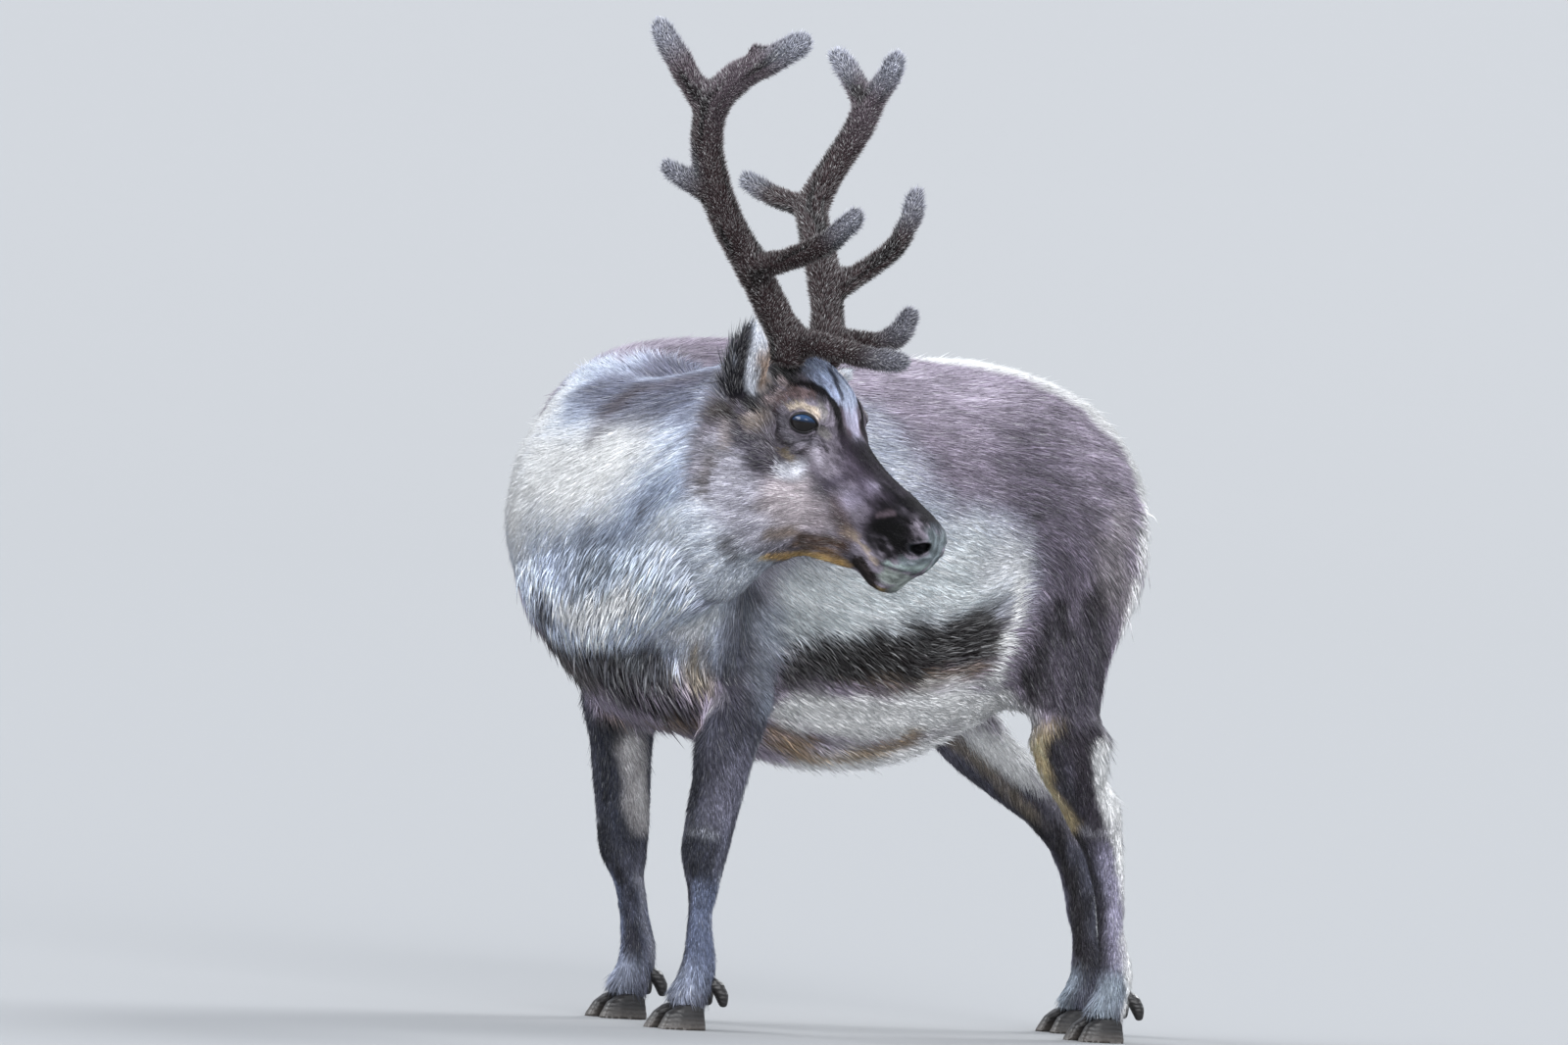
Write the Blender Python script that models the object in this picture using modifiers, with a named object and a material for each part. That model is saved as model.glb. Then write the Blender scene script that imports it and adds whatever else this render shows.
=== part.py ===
"""A standing reindeer in summer velvet, life size, looking back over its left shoulder.

Metres, +Z up. The trunk lies along Y with the chest towards -Y, and +X is the animal's left.
The flesh is lofted limb by limb, blended into one body and then parted with thin cuts.
"""

import math

import bmesh
import bpy
import numpy as np
from mathutils import Matrix, Vector

# Driving sizes
GAP = 0.0006  # clear width of every parting cut
SOLE = 0.0  # the floor
EYE_RADIUS = 0.0175
EAR_HALF_WIDTH = 0.029
EAR_HALF_DEPTH = 0.017
CLAW_LENGTH = 0.062
CLAW_WIDTH = 0.027
CLAW_HEIGHT = 0.036
CLEFT = 0.003  # between the two claws of a foot
TOE_REACH = 0.012  # of the claws' middle, ahead of the leg's last station
FETLOCK = 0.066  # height at which a dewclaw's place is read
BEAM_PARTING = 0.066  # along each antler's beam from its root

# Grids on which the lofted forms are blended, and the facets they are thinned to
BODY_VOXEL = 0.0075
BODY_TRIANGLES = 3000
ANTLER_VOXEL = 0.004
ANTLER_TRIANGLES = 520
FINE_HEAD = 0.75  # how much finer the facets stay on the head than on the trunk
FINE_LEGS = 0.50
FINE_TRUNK = 0.1
HEAD_REACH = 0.24  # from the middle of the head
LEG_REACH = 0.34  # from the floor

WORLD_AXES = (Vector((1, 0, 0)), Vector((0, 1, 0)), Vector((0, 0, 1)))

# The middle of the animal's outline on the floor, in these stations' coordinates
MIDDLE = Vector((0.13851, 0.02269, 0))

# The head's own frame: s runs forward from the nose tip, lat to its left, up over its forehead
NOSE_TIP = Vector((0.474, -0.198, 0.603))
HEAD_HEADING = math.radians(22)  # of the muzzle, from +X towards +Y
HEAD_PITCH = math.radians(30)  # of the muzzle, below level
HEAD_FORWARD = Vector((
    math.cos(HEAD_PITCH) * math.cos(HEAD_HEADING),
    math.cos(HEAD_PITCH) * math.sin(HEAD_HEADING),
    -math.sin(HEAD_PITCH),
))
HEAD_LEFT = Vector((-math.sin(HEAD_HEADING), math.cos(HEAD_HEADING), 0))
HEAD_UP = HEAD_FORWARD.cross(HEAD_LEFT)
HEAD_AXES = (HEAD_FORWARD, HEAD_LEFT, HEAD_UP)
HEAD_MIDDLE = (-0.15, 0, -0.03)
HEAD_SQUARENESS = 2.35
EYE_PLACE = (-0.214, 0.0555, 0.029)

# Trunk stations: y, top z, bottom z, half width
TRUNK = (
    (-0.425, 0.680, 0.500, 0.070),
    (-0.390, 0.755, 0.425, 0.120),
    (-0.320, 0.815, 0.375, 0.156),
    (-0.220, 0.832, 0.348, 0.172),
    (-0.110, 0.828, 0.330, 0.184),
    (0.010, 0.824, 0.309, 0.196),
    (0.110, 0.827, 0.342, 0.197),
    (0.210, 0.828, 0.396, 0.188),
    (0.300, 0.808, 0.436, 0.170),
    (0.375, 0.768, 0.475, 0.142),
    (0.420, 0.718, 0.525, 0.106),
    (0.440, 0.665, 0.585, 0.060),
)

# Neck stations: x, y, top z, bottom z, half width
NECK = (
    (0.000, -0.190, 0.790, 0.430, 0.130),
    (0.004, -0.290, 0.795, 0.415, 0.148),
    (0.045, -0.358, 0.785, 0.435, 0.138),
    (0.118, -0.376, 0.785, 0.470, 0.118),
    (0.190, -0.356, 0.795, 0.500, 0.100),
    (0.245, -0.318, 0.812, 0.550, 0.085),
    (0.285, -0.290, 0.815, 0.590, 0.070),
)

# Head stations: s, top, bottom, half width, all in the head's frame
HEAD = (
    (-0.004, 0.000, -0.024, 0.015),
    (-0.012, 0.013, -0.040, 0.029),
    (-0.028, 0.022, -0.060, 0.036),
    (-0.055, 0.024, -0.080, 0.038),
    (-0.085, 0.025, -0.088, 0.040),
    (-0.120, 0.028, -0.100, 0.046),
    (-0.155, 0.037, -0.115, 0.054),
    (-0.190, 0.050, -0.130, 0.060),
    (-0.222, 0.070, -0.142, 0.064),
    (-0.252, 0.087, -0.145, 0.065),
    (-0.285, 0.087, -0.140, 0.063),
    (-0.320, 0.066, -0.125, 0.056),
    (-0.345, 0.030, -0.105, 0.040),
)

# Lumps on both sides of the head: place and radii, both as s, lat, up
HEAD_LUMPS = {
    "brow": ((-0.218, 0.043, 0.036), (0.044, 0.019, 0.026)),
    "cheek": ((-0.212, 0.040, -0.062), (0.060, 0.026, 0.060)),
    "nostril_wing": ((-0.030, 0.018, -0.012), (0.027, 0.020, 0.026)),
    "chin": ((-0.050, 0.002, -0.078), (0.031, 0.026, 0.019)),
}

# Base and tip of each ear in the head's frame; the left one is held lower
EARS = {
    "right": ((-0.296, -0.058, -0.012), (-0.304, -0.120, 0.106)),
    "left": ((-0.296, 0.058, -0.014), (-0.302, 0.160, 0.050)),
}

# Leg stations, top to bottom: x, y, z, half width across, half width fore and aft
LEGS = {
    "front_left": (
        (0.105, -0.245, 0.600, 0.0500, 0.0900),
        (0.127, -0.240, 0.500, 0.0520, 0.0800),
        (0.130, -0.226, 0.425, 0.0420, 0.0550),
        (0.126, -0.234, 0.344, 0.0325, 0.0375),
        (0.118, -0.235, 0.289, 0.0290, 0.0315),
        (0.109, -0.237, 0.238, 0.0265, 0.0290),
        (0.104, -0.238, 0.214, 0.0260, 0.0295),
        (0.100, -0.233, 0.182, 0.0195, 0.0215),
        (0.096, -0.231, 0.145, 0.0155, 0.0170),
        (0.094, -0.229, 0.108, 0.0160, 0.0180),
        (0.092, -0.224, 0.076, 0.0200, 0.0220),
        (0.091, -0.233, 0.050, 0.0215, 0.0225),
        (0.091, -0.245, 0.026, 0.0255, 0.0260),
    ),
    "front_right": (
        (-0.105, -0.245, 0.600, 0.0500, 0.0900),
        (-0.125, -0.235, 0.500, 0.0520, 0.0800),
        (-0.127, -0.212, 0.425, 0.0420, 0.0560),
        (-0.122, -0.204, 0.346, 0.0325, 0.0385),
        (-0.115, -0.202, 0.292, 0.0305, 0.0340),
        (-0.108, -0.200, 0.238, 0.0290, 0.0310),
        (-0.103, -0.201, 0.207, 0.0275, 0.0310),
        (-0.099, -0.196, 0.180, 0.0205, 0.0225),
        (-0.096, -0.189, 0.149, 0.0165, 0.0180),
        (-0.094, -0.182, 0.113, 0.0170, 0.0190),
        (-0.092, -0.175, 0.080, 0.0205, 0.0225),
        (-0.091, -0.184, 0.050, 0.0215, 0.0225),
        (-0.090, -0.196, 0.026, 0.0255, 0.0260),
    ),
    "hind_left": (
        (0.090, 0.315, 0.650, 0.0600, 0.1000),
        (0.114, 0.285, 0.555, 0.0620, 0.1050),
        (0.128, 0.268, 0.480, 0.0520, 0.0860),
        (0.129, 0.276, 0.432, 0.0440, 0.0680),
        (0.125, 0.291, 0.384, 0.0400, 0.0540),
        (0.117, 0.304, 0.343, 0.0350, 0.0425),
        (0.107, 0.330, 0.308, 0.0290, 0.0320),
        (0.098, 0.362, 0.276, 0.0275, 0.0335),
        (0.090, 0.385, 0.240, 0.0225, 0.0265),
        (0.084, 0.405, 0.184, 0.0170, 0.0200),
        (0.082, 0.417, 0.123, 0.0165, 0.0190),
        (0.081, 0.427, 0.078, 0.0200, 0.0225),
        (0.081, 0.420, 0.050, 0.0215, 0.0225),
        (0.081, 0.408, 0.026, 0.0255, 0.0260),
    ),
    "hind_right": (
        (-0.090, 0.315, 0.650, 0.0600, 0.1000),
        (-0.114, 0.290, 0.555, 0.0620, 0.1060),
        (-0.128, 0.285, 0.480, 0.0520, 0.0860),
        (-0.128, 0.300, 0.425, 0.0440, 0.0650),
        (-0.123, 0.336, 0.362, 0.0375, 0.0450),
        (-0.113, 0.377, 0.322, 0.0330, 0.0330),
        (-0.100, 0.437, 0.283, 0.0285, 0.0325),
        (-0.091, 0.468, 0.247, 0.0240, 0.0280),
        (-0.083, 0.484, 0.207, 0.0195, 0.0230),
        (-0.079, 0.493, 0.163, 0.0165, 0.0195),
        (-0.077, 0.503, 0.110, 0.0165, 0.0190),
        (-0.076, 0.511, 0.072, 0.0200, 0.0225),
        (-0.076, 0.503, 0.047, 0.0215, 0.0225),
        (-0.076, 0.491, 0.026, 0.0255, 0.0260),
    ),
}

TAIL = (
    (0.000, 0.395, 0.715, 0.034, 0.030),
    (0.000, 0.430, 0.690, 0.031, 0.026),
    (0.000, 0.452, 0.650, 0.028, 0.021),
    (0.000, 0.460, 0.608, 0.023, 0.017),
    (0.000, 0.460, 0.572, 0.012, 0.009),
)

# Where each leg is parted: at the elbow or stifle, below the knee or hock, and at the fetlock
LEG_CUTS = {"front": (0.384, 0.172, 0.066), "hind": (0.380, 0.228, 0.070)}
LEG_LEANS = {"front": math.radians(40), "hind": math.radians(20)}  # of each leg's topmost parting

# Each dewclaw's stations: out from the fetlock's middle, back from it, z, half width, half depth
DEWCLAW = (
    (0.010, 0.012, 0.058, 0.0080, 0.0080),
    (0.013, 0.022, 0.052, 0.0095, 0.0095),
    (0.015, 0.029, 0.040, 0.0085, 0.0090),
    (0.015, 0.032, 0.028, 0.0045, 0.0055),
)

# Where the neck meets the trunk, and where the head meets the neck, in the head's frame
NECK_CUT = {
    "centre": Vector((0.050, -0.335, 0.610)),
    "normal": Vector((0.62, -0.78, 0.08)),
    "radius": 0.260,
}
POLL_CUT = {"centre": (-0.300, -0.020, -0.045), "normal": (0.851, 0.525), "halves": (0.110, 0.230)}

# Antler branches in the head's frame: s, lat, up, radius. The lat of the right antler is negative
ANTLERS = {
    "right": {
        "beam": (
            (-0.284, -0.042, 0.066, 0.0257),
            (-0.293, -0.046, 0.092, 0.0237),
            (-0.325, -0.066, 0.120, 0.0212),
            (-0.366, -0.094, 0.155, 0.0212),
            (-0.412, -0.124, 0.192, 0.0207),
            (-0.451, -0.145, 0.235, 0.0207),
            (-0.474, -0.155, 0.275, 0.0207),
            (-0.479, -0.160, 0.308, 0.0212),
        ),
        "palm": (
            (-0.479, -0.160, 0.305, 0.0202),
            (-0.470, -0.155, 0.349, 0.0207),
            (-0.453, -0.145, 0.383, 0.0200),
            (-0.433, -0.133, 0.416, 0.0162),
        ),
        "crown": (
            (-0.478, -0.158, 0.290, 0.0172),
            (-0.524, -0.170, 0.312, 0.0177),
            (-0.556, -0.175, 0.328, 0.0167),
            (-0.580, -0.179, 0.341, 0.0147),
        ),
        "rear": (
            (-0.430, -0.133, 0.205, 0.0152),
            (-0.468, -0.144, 0.202, 0.0147),
            (-0.490, -0.152, 0.202, 0.0137),
        ),
        "bez": (
            (-0.360, -0.090, 0.149, 0.0162),
            (-0.319, -0.108, 0.187, 0.0152),
            (-0.276, -0.120, 0.240, 0.0152),
            (-0.262, -0.120, 0.285, 0.0142),
        ),
        "brow": (
            (-0.287, -0.045, 0.098, 0.0182),
            (-0.237, -0.045, 0.119, 0.0162),
            (-0.190, -0.036, 0.136, 0.0152),
            (-0.161, -0.027, 0.151, 0.0147),
        ),
    },
    "left": {
        "beam": (
            (-0.284, 0.042, 0.066, 0.0257),
            (-0.293, 0.046, 0.092, 0.0237),
            (-0.325, 0.062, 0.125, 0.0212),
            (-0.380, 0.086, 0.164, 0.0212),
            (-0.432, 0.114, 0.192, 0.0202),
            (-0.449, 0.138, 0.237, 0.0187),
            (-0.452, 0.150, 0.291, 0.0187),
            (-0.459, 0.155, 0.330, 0.0187),
        ),
        "palm": (
            (-0.459, 0.155, 0.326, 0.0172),
            (-0.453, 0.150, 0.373, 0.0162),
            (-0.454, 0.146, 0.392, 0.0152),
        ),
        "crown": (
            (-0.458, 0.155, 0.320, 0.0162),
            (-0.505, 0.160, 0.343, 0.0152),
            (-0.530, 0.160, 0.349, 0.0142),
        ),
        "rear": (
            (-0.430, 0.114, 0.192, 0.0152),
            (-0.495, 0.135, 0.172, 0.0142),
            (-0.529, 0.145, 0.166, 0.0137),
            (-0.545, 0.148, 0.163, 0.0132),
        ),
        "bez": (
            (-0.335, 0.070, 0.138, 0.0162),
            (-0.326, 0.100, 0.174, 0.0152),
            (-0.316, 0.120, 0.215, 0.0147),
            (-0.322, 0.130, 0.256, 0.0147),
            (-0.333, 0.134, 0.279, 0.0137),
        ),
        "brow": (
            (-0.287, 0.046, 0.098, 0.0182),
            (-0.236, 0.050, 0.129, 0.0162),
            (-0.218, 0.050, 0.157, 0.0152),
            (-0.219, 0.050, 0.180, 0.0142),
        ),
    },
}

COLOURS = {
    "coat": ((0.42, 0.38, 0.37, 1), 0.85),
    "velvet": ((0.16, 0.13, 0.12, 1), 0.9),
    "claw": ((0.05, 0.045, 0.04, 1), 0.45),
    "eye": ((0.02, 0.02, 0.03, 1), 0.08),
}


def clear_scene():
    for obj in list(bpy.data.objects):
        bpy.data.objects.remove(obj)


def make_materials():
    made = {}
    for name, (colour, roughness) in COLOURS.items():
        finish = bpy.data.materials.new(name)
        finish.use_nodes = True
        shader = finish.node_tree.nodes["Principled BSDF"]
        shader.inputs["Base Color"].default_value = colour
        shader.inputs["Roughness"].default_value = roughness
        made[name] = finish
    return made


def in_head(s, lat, up):
    """The world point of a place given in the head's frame."""
    return NOSE_TIP + s * HEAD_FORWARD + lat * HEAD_LEFT + up * HEAD_UP


def smooth_path(stations, steps):
    """Catmull-Rom through the stations, every number of them alike, in steps to each span."""
    given = np.array(stations, float)
    ends = (2 * given[0] - given[1], 2 * given[-1] - given[-2])
    padded = np.vstack((ends[0], given, ends[1]))
    rows = []
    for i in range(len(given) - 1):
        a, b, c, d = padded[i : i + 4]
        for t in np.arange(steps) / steps:
            bend = (2 * a - 5 * b + 4 * c - d) * t * t + (3 * b - a - 3 * c + d) * t**3
            rows.append(0.5 * (2 * b + (c - a) * t + bend))
    rows.append(given[-1])
    return np.array(rows).tolist()


def object_from(name, bm):
    mesh = bpy.data.meshes.new(name)
    bm.to_mesh(mesh)
    bm.free()
    obj = bpy.data.objects.new(name, mesh)
    bpy.context.scene.collection.objects.link(obj)
    return obj


def loft(name, sections, tall_hint, sides=24, squareness=2.0):
    """A closed skin over oval sections: rows of x, y, z, half width, half height."""
    bm = bmesh.new()
    centres = [Vector(row[:3]) for row in sections]
    rings = []
    for i, (centre, row) in enumerate(zip(centres, sections)):
        ahead = centres[min(i + 1, len(centres) - 1)] - centres[max(i - 1, 0)]
        across = ahead.cross(tall_hint).normalized()
        tall = across.cross(ahead).normalized()
        ring = []
        for k in range(sides):
            angle = math.tau * k / sides
            c, s = math.cos(angle), math.sin(angle)
            w = math.copysign(abs(c) ** (2 / squareness), c) * row[3]
            h = math.copysign(abs(s) ** (2 / squareness), s) * row[4]
            ring.append(bm.verts.new(centre + w * across + h * tall))
        rings.append(ring)
    for near, far in zip(rings, rings[1:]):
        for k in range(sides):
            n = (k + 1) % sides
            bm.faces.new((near[k], near[n], far[n], far[k]))
    for ring, centre in ((rings[0], centres[0]), (rings[-1], centres[-1])):
        cap = bm.verts.new(centre)
        for k in range(sides):
            bm.faces.new((ring[k], ring[(k + 1) % sides], cap))
    bm.normal_update()
    bmesh.ops.recalc_face_normals(bm, faces=bm.faces)
    return object_from(name, bm)


def ellipsoid(name, centre, radii, axes=WORLD_AXES, sides=16):
    """A ball stretched by its three radii along three axes."""
    bm = bmesh.new()
    bmesh.ops.create_uvsphere(bm, u_segments=sides, v_segments=sides * 2 // 3, radius=1)
    turn = Matrix((axes[0], axes[1], axes[2])).transposed().to_4x4()
    stretch = Matrix.Diagonal((*radii, 1))
    bmesh.ops.transform(bm, matrix=Matrix.Translation(centre) @ turn @ stretch, verts=bm.verts)
    return object_from(name, bm)


def trunk():
    rows = [(0, y, (top + low) / 2, half, (top - low) / 2) for y, top, low, half in TRUNK]
    return loft("trunk_form", smooth_path(rows, 4), Vector((0, 0, 1)), 28, 2.2)


def neck():
    rows = [(x, y, (top + low) / 2, half, (top - low) / 2) for x, y, top, low, half in NECK]
    return loft("neck_form", smooth_path(rows, 4), Vector((0, 0, 1)), 24)


def head():
    rows = [
        (*in_head(s, 0, (top + low) / 2), half, (top - low) / 2) for s, top, low, half in HEAD
    ]
    forms = [loft("head_form", smooth_path(rows, 4), HEAD_UP, 24, HEAD_SQUARENESS)]
    for name, ((ahead, lat, up), radii) in HEAD_LUMPS.items():
        for side in (-1, 1):
            forms.append(ellipsoid(name, in_head(ahead, side * lat, up), radii, HEAD_AXES))
    return forms


def legs():
    return [
        loft(f"{name}_form", smooth_path(rows, 4), Vector((0, 1, 0)), 18)
        for name, rows in LEGS.items()
    ]


def tail():
    return loft("tail", smooth_path(TAIL, 2), Vector((0, 1, 0)), 10)


def ear(word):
    """A leaf-shaped cup, its hollow turned forward and outward."""
    side = 1 if word == "left" else -1
    base, tip = (in_head(*place) for place in EARS[word])
    length = (tip - base).length
    along = (tip - base).normalized()
    opening = 0.80 * HEAD_FORWARD + side * 0.60 * HEAD_LEFT
    opening = (opening - opening.dot(along) * along).normalized()
    rows = []
    for i in range(9):
        t = i / 8
        swell = 0.42 + 0.58 * math.sin(math.pi * min(1.0, 0.16 + 0.70 * t))
        close = math.sqrt(max(0.0, 1 - max(0.0, (t - 0.55) / 0.46) ** 2))
        width = EAR_HALF_WIDTH * swell * close + 0.001
        depth = EAR_HALF_DEPTH * (0.5 + 0.5 * close) * (1 - 0.35 * t)
        rows.append((*(base + along * length * t), width, depth))
    shell = loft(f"ear_{word}", rows, opening, 12)
    hollow = base + along * length * 0.60 + opening * 0.018
    radii = (length * 0.36, EAR_HALF_WIDTH * 0.64, EAR_HALF_DEPTH)
    cut(shell, [ellipsoid("hollow", hollow, radii, (along, opening.cross(along), opening), 10)])
    return shell


def evaluated_mesh(obj):
    graph = bpy.context.evaluated_depsgraph_get()
    return bpy.data.meshes.new_from_object(obj.evaluated_get(graph))


def settle(obj):
    """Replaces the object's mesh by what its modifiers make of it."""
    mesh = evaluated_mesh(obj)
    obj.modifiers.clear()
    obj.data = mesh
    return obj


def joined(name, forms):
    bm = bmesh.new()
    for form in forms:
        bm.from_mesh(form.data)
        bpy.data.objects.remove(form)
    return object_from(name, bm)


def cut(obj, cutters):
    """Takes the cutters out of the object, and removes them."""
    tool = joined("cutter", cutters) if len(cutters) > 1 else cutters[0]
    tool.hide_render = True
    tool.display_type = "WIRE"
    trim = obj.modifiers.new("cut", "BOOLEAN")
    trim.operation = "DIFFERENCE"
    trim.solver = "EXACT"
    trim.use_self = len(cutters) > 1
    trim.object = tool
    settle(obj)
    bpy.data.objects.remove(tool)
    return obj


def blended(name, forms, voxel, rounds, triangles, fine=None):
    """The forms made one body, its joints softened, then thinned to about that many triangles."""
    body = joined(name, forms)
    remesh = body.modifiers.new("blend", "REMESH")
    remesh.mode = "VOXEL"
    remesh.voxel_size = voxel
    soften = body.modifiers.new("soften", "SMOOTH")
    soften.factor = 0.5
    soften.iterations = rounds
    settle(body)
    thin = body.modifiers.new("thin", "DECIMATE")
    body.data.calc_loop_triangles()
    thin.ratio = triangles / len(body.data.loop_triangles)
    if fine:
        group = body.vertex_groups.new(name="fine")
        for vertex in body.data.vertices:
            group.add([vertex.index], fine(vertex.co), "REPLACE")
        thin.vertex_group = "fine"
        thin.invert_vertex_group = True
        thin.vertex_group_factor = 8
    settle(body)
    body.vertex_groups.clear()
    return body


def grown_copy(obj, by):
    """The object's shape moved outwards by that much, as a cutter."""
    bm = bmesh.new()
    bm.from_mesh(obj.data)
    bm.normal_update()
    places = [(v, v.co + by * v.normal) for v in bm.verts]
    for vertex, place in places:
        vertex.co = place
    return object_from("grown", bm)


def slab(centre, normal, across, half_across, half_along):
    """A thin flat block, the width of a parting cut."""
    bm = bmesh.new()
    bmesh.ops.create_cube(bm, size=2)
    normal = normal.normalized()
    turn = Matrix((across, normal.cross(across), normal)).transposed().to_4x4()
    stretch = Matrix.Diagonal((half_across, half_along, GAP / 2, 1))
    bmesh.ops.transform(bm, matrix=Matrix.Translation(centre) @ turn @ stretch, verts=bm.verts)
    return object_from("slab", bm)


def disc(centre, normal, radius):
    """A thin round slab, the width of a parting cut."""
    bm = bmesh.new()
    bmesh.ops.create_cone(bm, cap_ends=True, segments=20, radius1=radius, radius2=radius, depth=GAP)
    turn = Vector((0, 0, 1)).rotation_difference(Vector(normal)).to_matrix().to_4x4()
    bmesh.ops.transform(bm, matrix=Matrix.Translation(centre) @ turn, verts=bm.verts)
    return object_from("disc", bm)


def parted(body, labels):
    """Splits the body into its loose pieces, each named for the label point nearest its middle."""
    bpy.ops.object.select_all(action="DESELECT")
    body.select_set(True)
    bpy.context.view_layer.objects.active = body
    bpy.ops.object.mode_set(mode="EDIT")
    bpy.ops.mesh.select_all(action="SELECT")
    bpy.ops.mesh.separate(type="LOOSE")
    bpy.ops.object.mode_set(mode="OBJECT")
    pieces = list(bpy.context.selected_objects)
    for name, place in labels.items():
        distance = {p: (p.closest_point_on_mesh(place)[1] - Vector(place)).length for p in pieces}
        piece = min(pieces, key=distance.get)
        piece.name = name
        piece.data.name = name
        pieces.remove(piece)
    for crumb in pieces:
        bpy.data.objects.remove(crumb)


def keep_largest(obj):
    """Drops all but the largest of the object's loose shells."""
    bm = bmesh.new()
    bm.from_mesh(obj.data)
    left = set(bm.verts)
    shells = []
    while left:
        shell = set()
        front = [left.pop()]
        while front:
            vertex = front.pop()
            shell.add(vertex)
            near = {edge.other_vert(vertex) for edge in vertex.link_edges} & left
            left -= near
            front += near
        shells.append(shell)
    shells.sort(key=len)
    for shell in shells[:-1]:
        bmesh.ops.delete(bm, geom=list(shell), context="VERTS")
    bm.to_mesh(obj.data)
    bm.free()


def row_at(rows, z):
    """The leg's station at that height, read between its own stations."""
    return min(smooth_path(rows, 12), key=lambda row: abs(row[2] - z))


def claw(name, toe, side):
    """Half of a cloven hoof: flat-soled, its outer wall curving in to the toe."""
    bm = bmesh.new()
    bmesh.ops.create_cube(bm, size=1)
    bmesh.ops.subdivide_edges(bm, edges=bm.edges, cuts=2, use_grid_fill=True)
    for vertex in bm.verts:
        x, y, z = vertex.co
        forward = 0.5 - y  # 1 at the toe, which points to -Y
        rise = z + 0.5
        height = CLAW_HEIGHT * (1 - 0.45 * forward**2 - 0.28 * (1 - forward) ** 3)
        width = CLAW_WIDTH * (1 - 0.50 * forward**2.2) * (1 - 0.28 * rise)
        cleft = CLEFT / 2 + 0.0002 * (1 - forward)
        splay = 0.006 * forward
        lean = 0.012 * rise * forward
        vertex.co = (
            toe.x + side * ((x + 0.5) * width + cleft + splay),
            toe.y + y * CLAW_LENGTH + lean,
            SOLE + rise * height,
        )
    bm.normal_update()
    bmesh.ops.recalc_face_normals(bm, faces=bm.faces)
    bmesh.ops.triangulate(bm, faces=bm.faces)
    return object_from(name, bm)


def dewclaw(name, fetlock, side):
    """A short blunt claw behind the fetlock, pointing down and back."""
    rows = [
        (fetlock.x + side * out, fetlock.y + back, z, width, depth)
        for out, back, z, width, depth in DEWCLAW
    ]
    return loft(name, rows, Vector((0, 1, 0)), 6)


def feet():
    """The main claws and dewclaws of all four feet."""
    made = []
    for leg, rows in LEGS.items():
        toe = Vector((rows[-1][0], rows[-1][1] - TOE_REACH, SOLE))
        fetlock = Vector(row_at(rows, FETLOCK)[:3])
        for side, word in ((1, "a"), (-1, "b")):
            made.append(claw(f"claw_{leg}_{word}", toe, side))
            made.append(dewclaw(f"dewclaw_{leg}_{word}", fetlock, side))
    return made


def branch_path(stations):
    rows = smooth_path([(*in_head(s, lat, up), r) for s, lat, up, r in stations], 12)
    return [(Vector(row[:3]), row[3]) for row in rows]


def steps_along(path, distance):
    at = 0
    while distance > 0:
        distance -= (path[at + 1][0] - path[at][0]).length
        at += 1
    return at


def steps_clear(path, beam):
    """The first step at which a branch stands clear of the beam it grows from."""
    for at, (here, radius) in enumerate(path):
        clear = min((here - there).length - thick for there, thick in beam)
        if clear > 1.1 * radius:
            return at
    return len(path) // 2


def antler_body(side, branches):
    """One antler in one piece, blended from its branches and their round tips."""
    forms = []
    for word, stations in branches.items():
        rows = [(*in_head(s, lat, up), r, r) for s, lat, up, r in stations]
        path = smooth_path(rows, 5)
        forms.append(loft(word, path, Vector((0.3, 0.2, 1)), 12))
        forms.append(ellipsoid("tip", Vector(path[-1][:3]), (path[-1][3],) * 3))
    return blended(f"antler_{side}", forms, ANTLER_VOXEL, 3, ANTLER_TRIANGLES)


def part_antler(body, side, branches):
    """Parts an antler at its main forks, and at the top of its foot."""
    beam = branch_path(branches["beam"])
    labels = {f"antler_{side}_base": in_head(*branches["beam"][1][:3])}
    cutters = []
    for word, stations in branches.items():
        path = branch_path(stations)
        at = steps_along(path, BEAM_PARTING) if word == "beam" else steps_clear(path, beam)
        here, radius = path[at]
        cutters.append(disc(here, path[at + 1][0] - here, 1.2 * radius + 0.004))
        labels[f"antler_{side}_{word}"] = path[(at + len(path)) // 2][0]
    cut(body, cutters)
    parted(body, labels)


def leg_cuts():
    """Thin slabs across each leg; the topmost leans in towards the belly."""
    slabs = []
    for leg, rows in LEGS.items():
        end = leg.split("_")[0]
        side = math.copysign(1, rows[0][0])
        for z, lean in zip(LEG_CUTS[end], (LEG_LEANS[end], 0, 0)):
            x, y, height, across, along = row_at(rows, z)
            tilt = Vector((-side * math.sin(lean), 0, math.cos(lean)))
            reach = 1.75 if lean else 1.4
            centre = Vector((x, y, height))
            slabs.append(slab(centre, tilt, Vector((0, 1, 0)), along * reach, across * reach))
    return slabs


def part_flesh(flesh):
    """Parts the flesh at the base of the neck, behind the ears and along the legs."""
    neck_cut = disc(NECK_CUT["centre"], NECK_CUT["normal"], NECK_CUT["radius"])
    poll = POLL_CUT["normal"][0] * HEAD_FORWARD + POLL_CUT["normal"][1] * HEAD_UP
    poll_cut = slab(in_head(*POLL_CUT["centre"]), poll, HEAD_LEFT, *POLL_CUT["halves"])
    cut(flesh, [neck_cut, poll_cut, *leg_cuts()])
    labels = {
        "trunk": (0, 0.02, 0.57),
        "neck": (0.14, -0.34, 0.63),
        "head": in_head(*HEAD_MIDDLE),
    }
    for leg, rows in LEGS.items():
        top, middle, low = LEG_CUTS[leg.split("_")[0]]
        labels[f"leg_{leg}_upper"] = row_at(rows, (top + middle) / 2)[:3]
        labels[f"leg_{leg}_cannon"] = row_at(rows, (middle + low) / 2)[:3]
        labels[f"leg_{leg}_foot"] = row_at(rows, low * 0.7)[:3]
    parted(flesh, labels)


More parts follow.
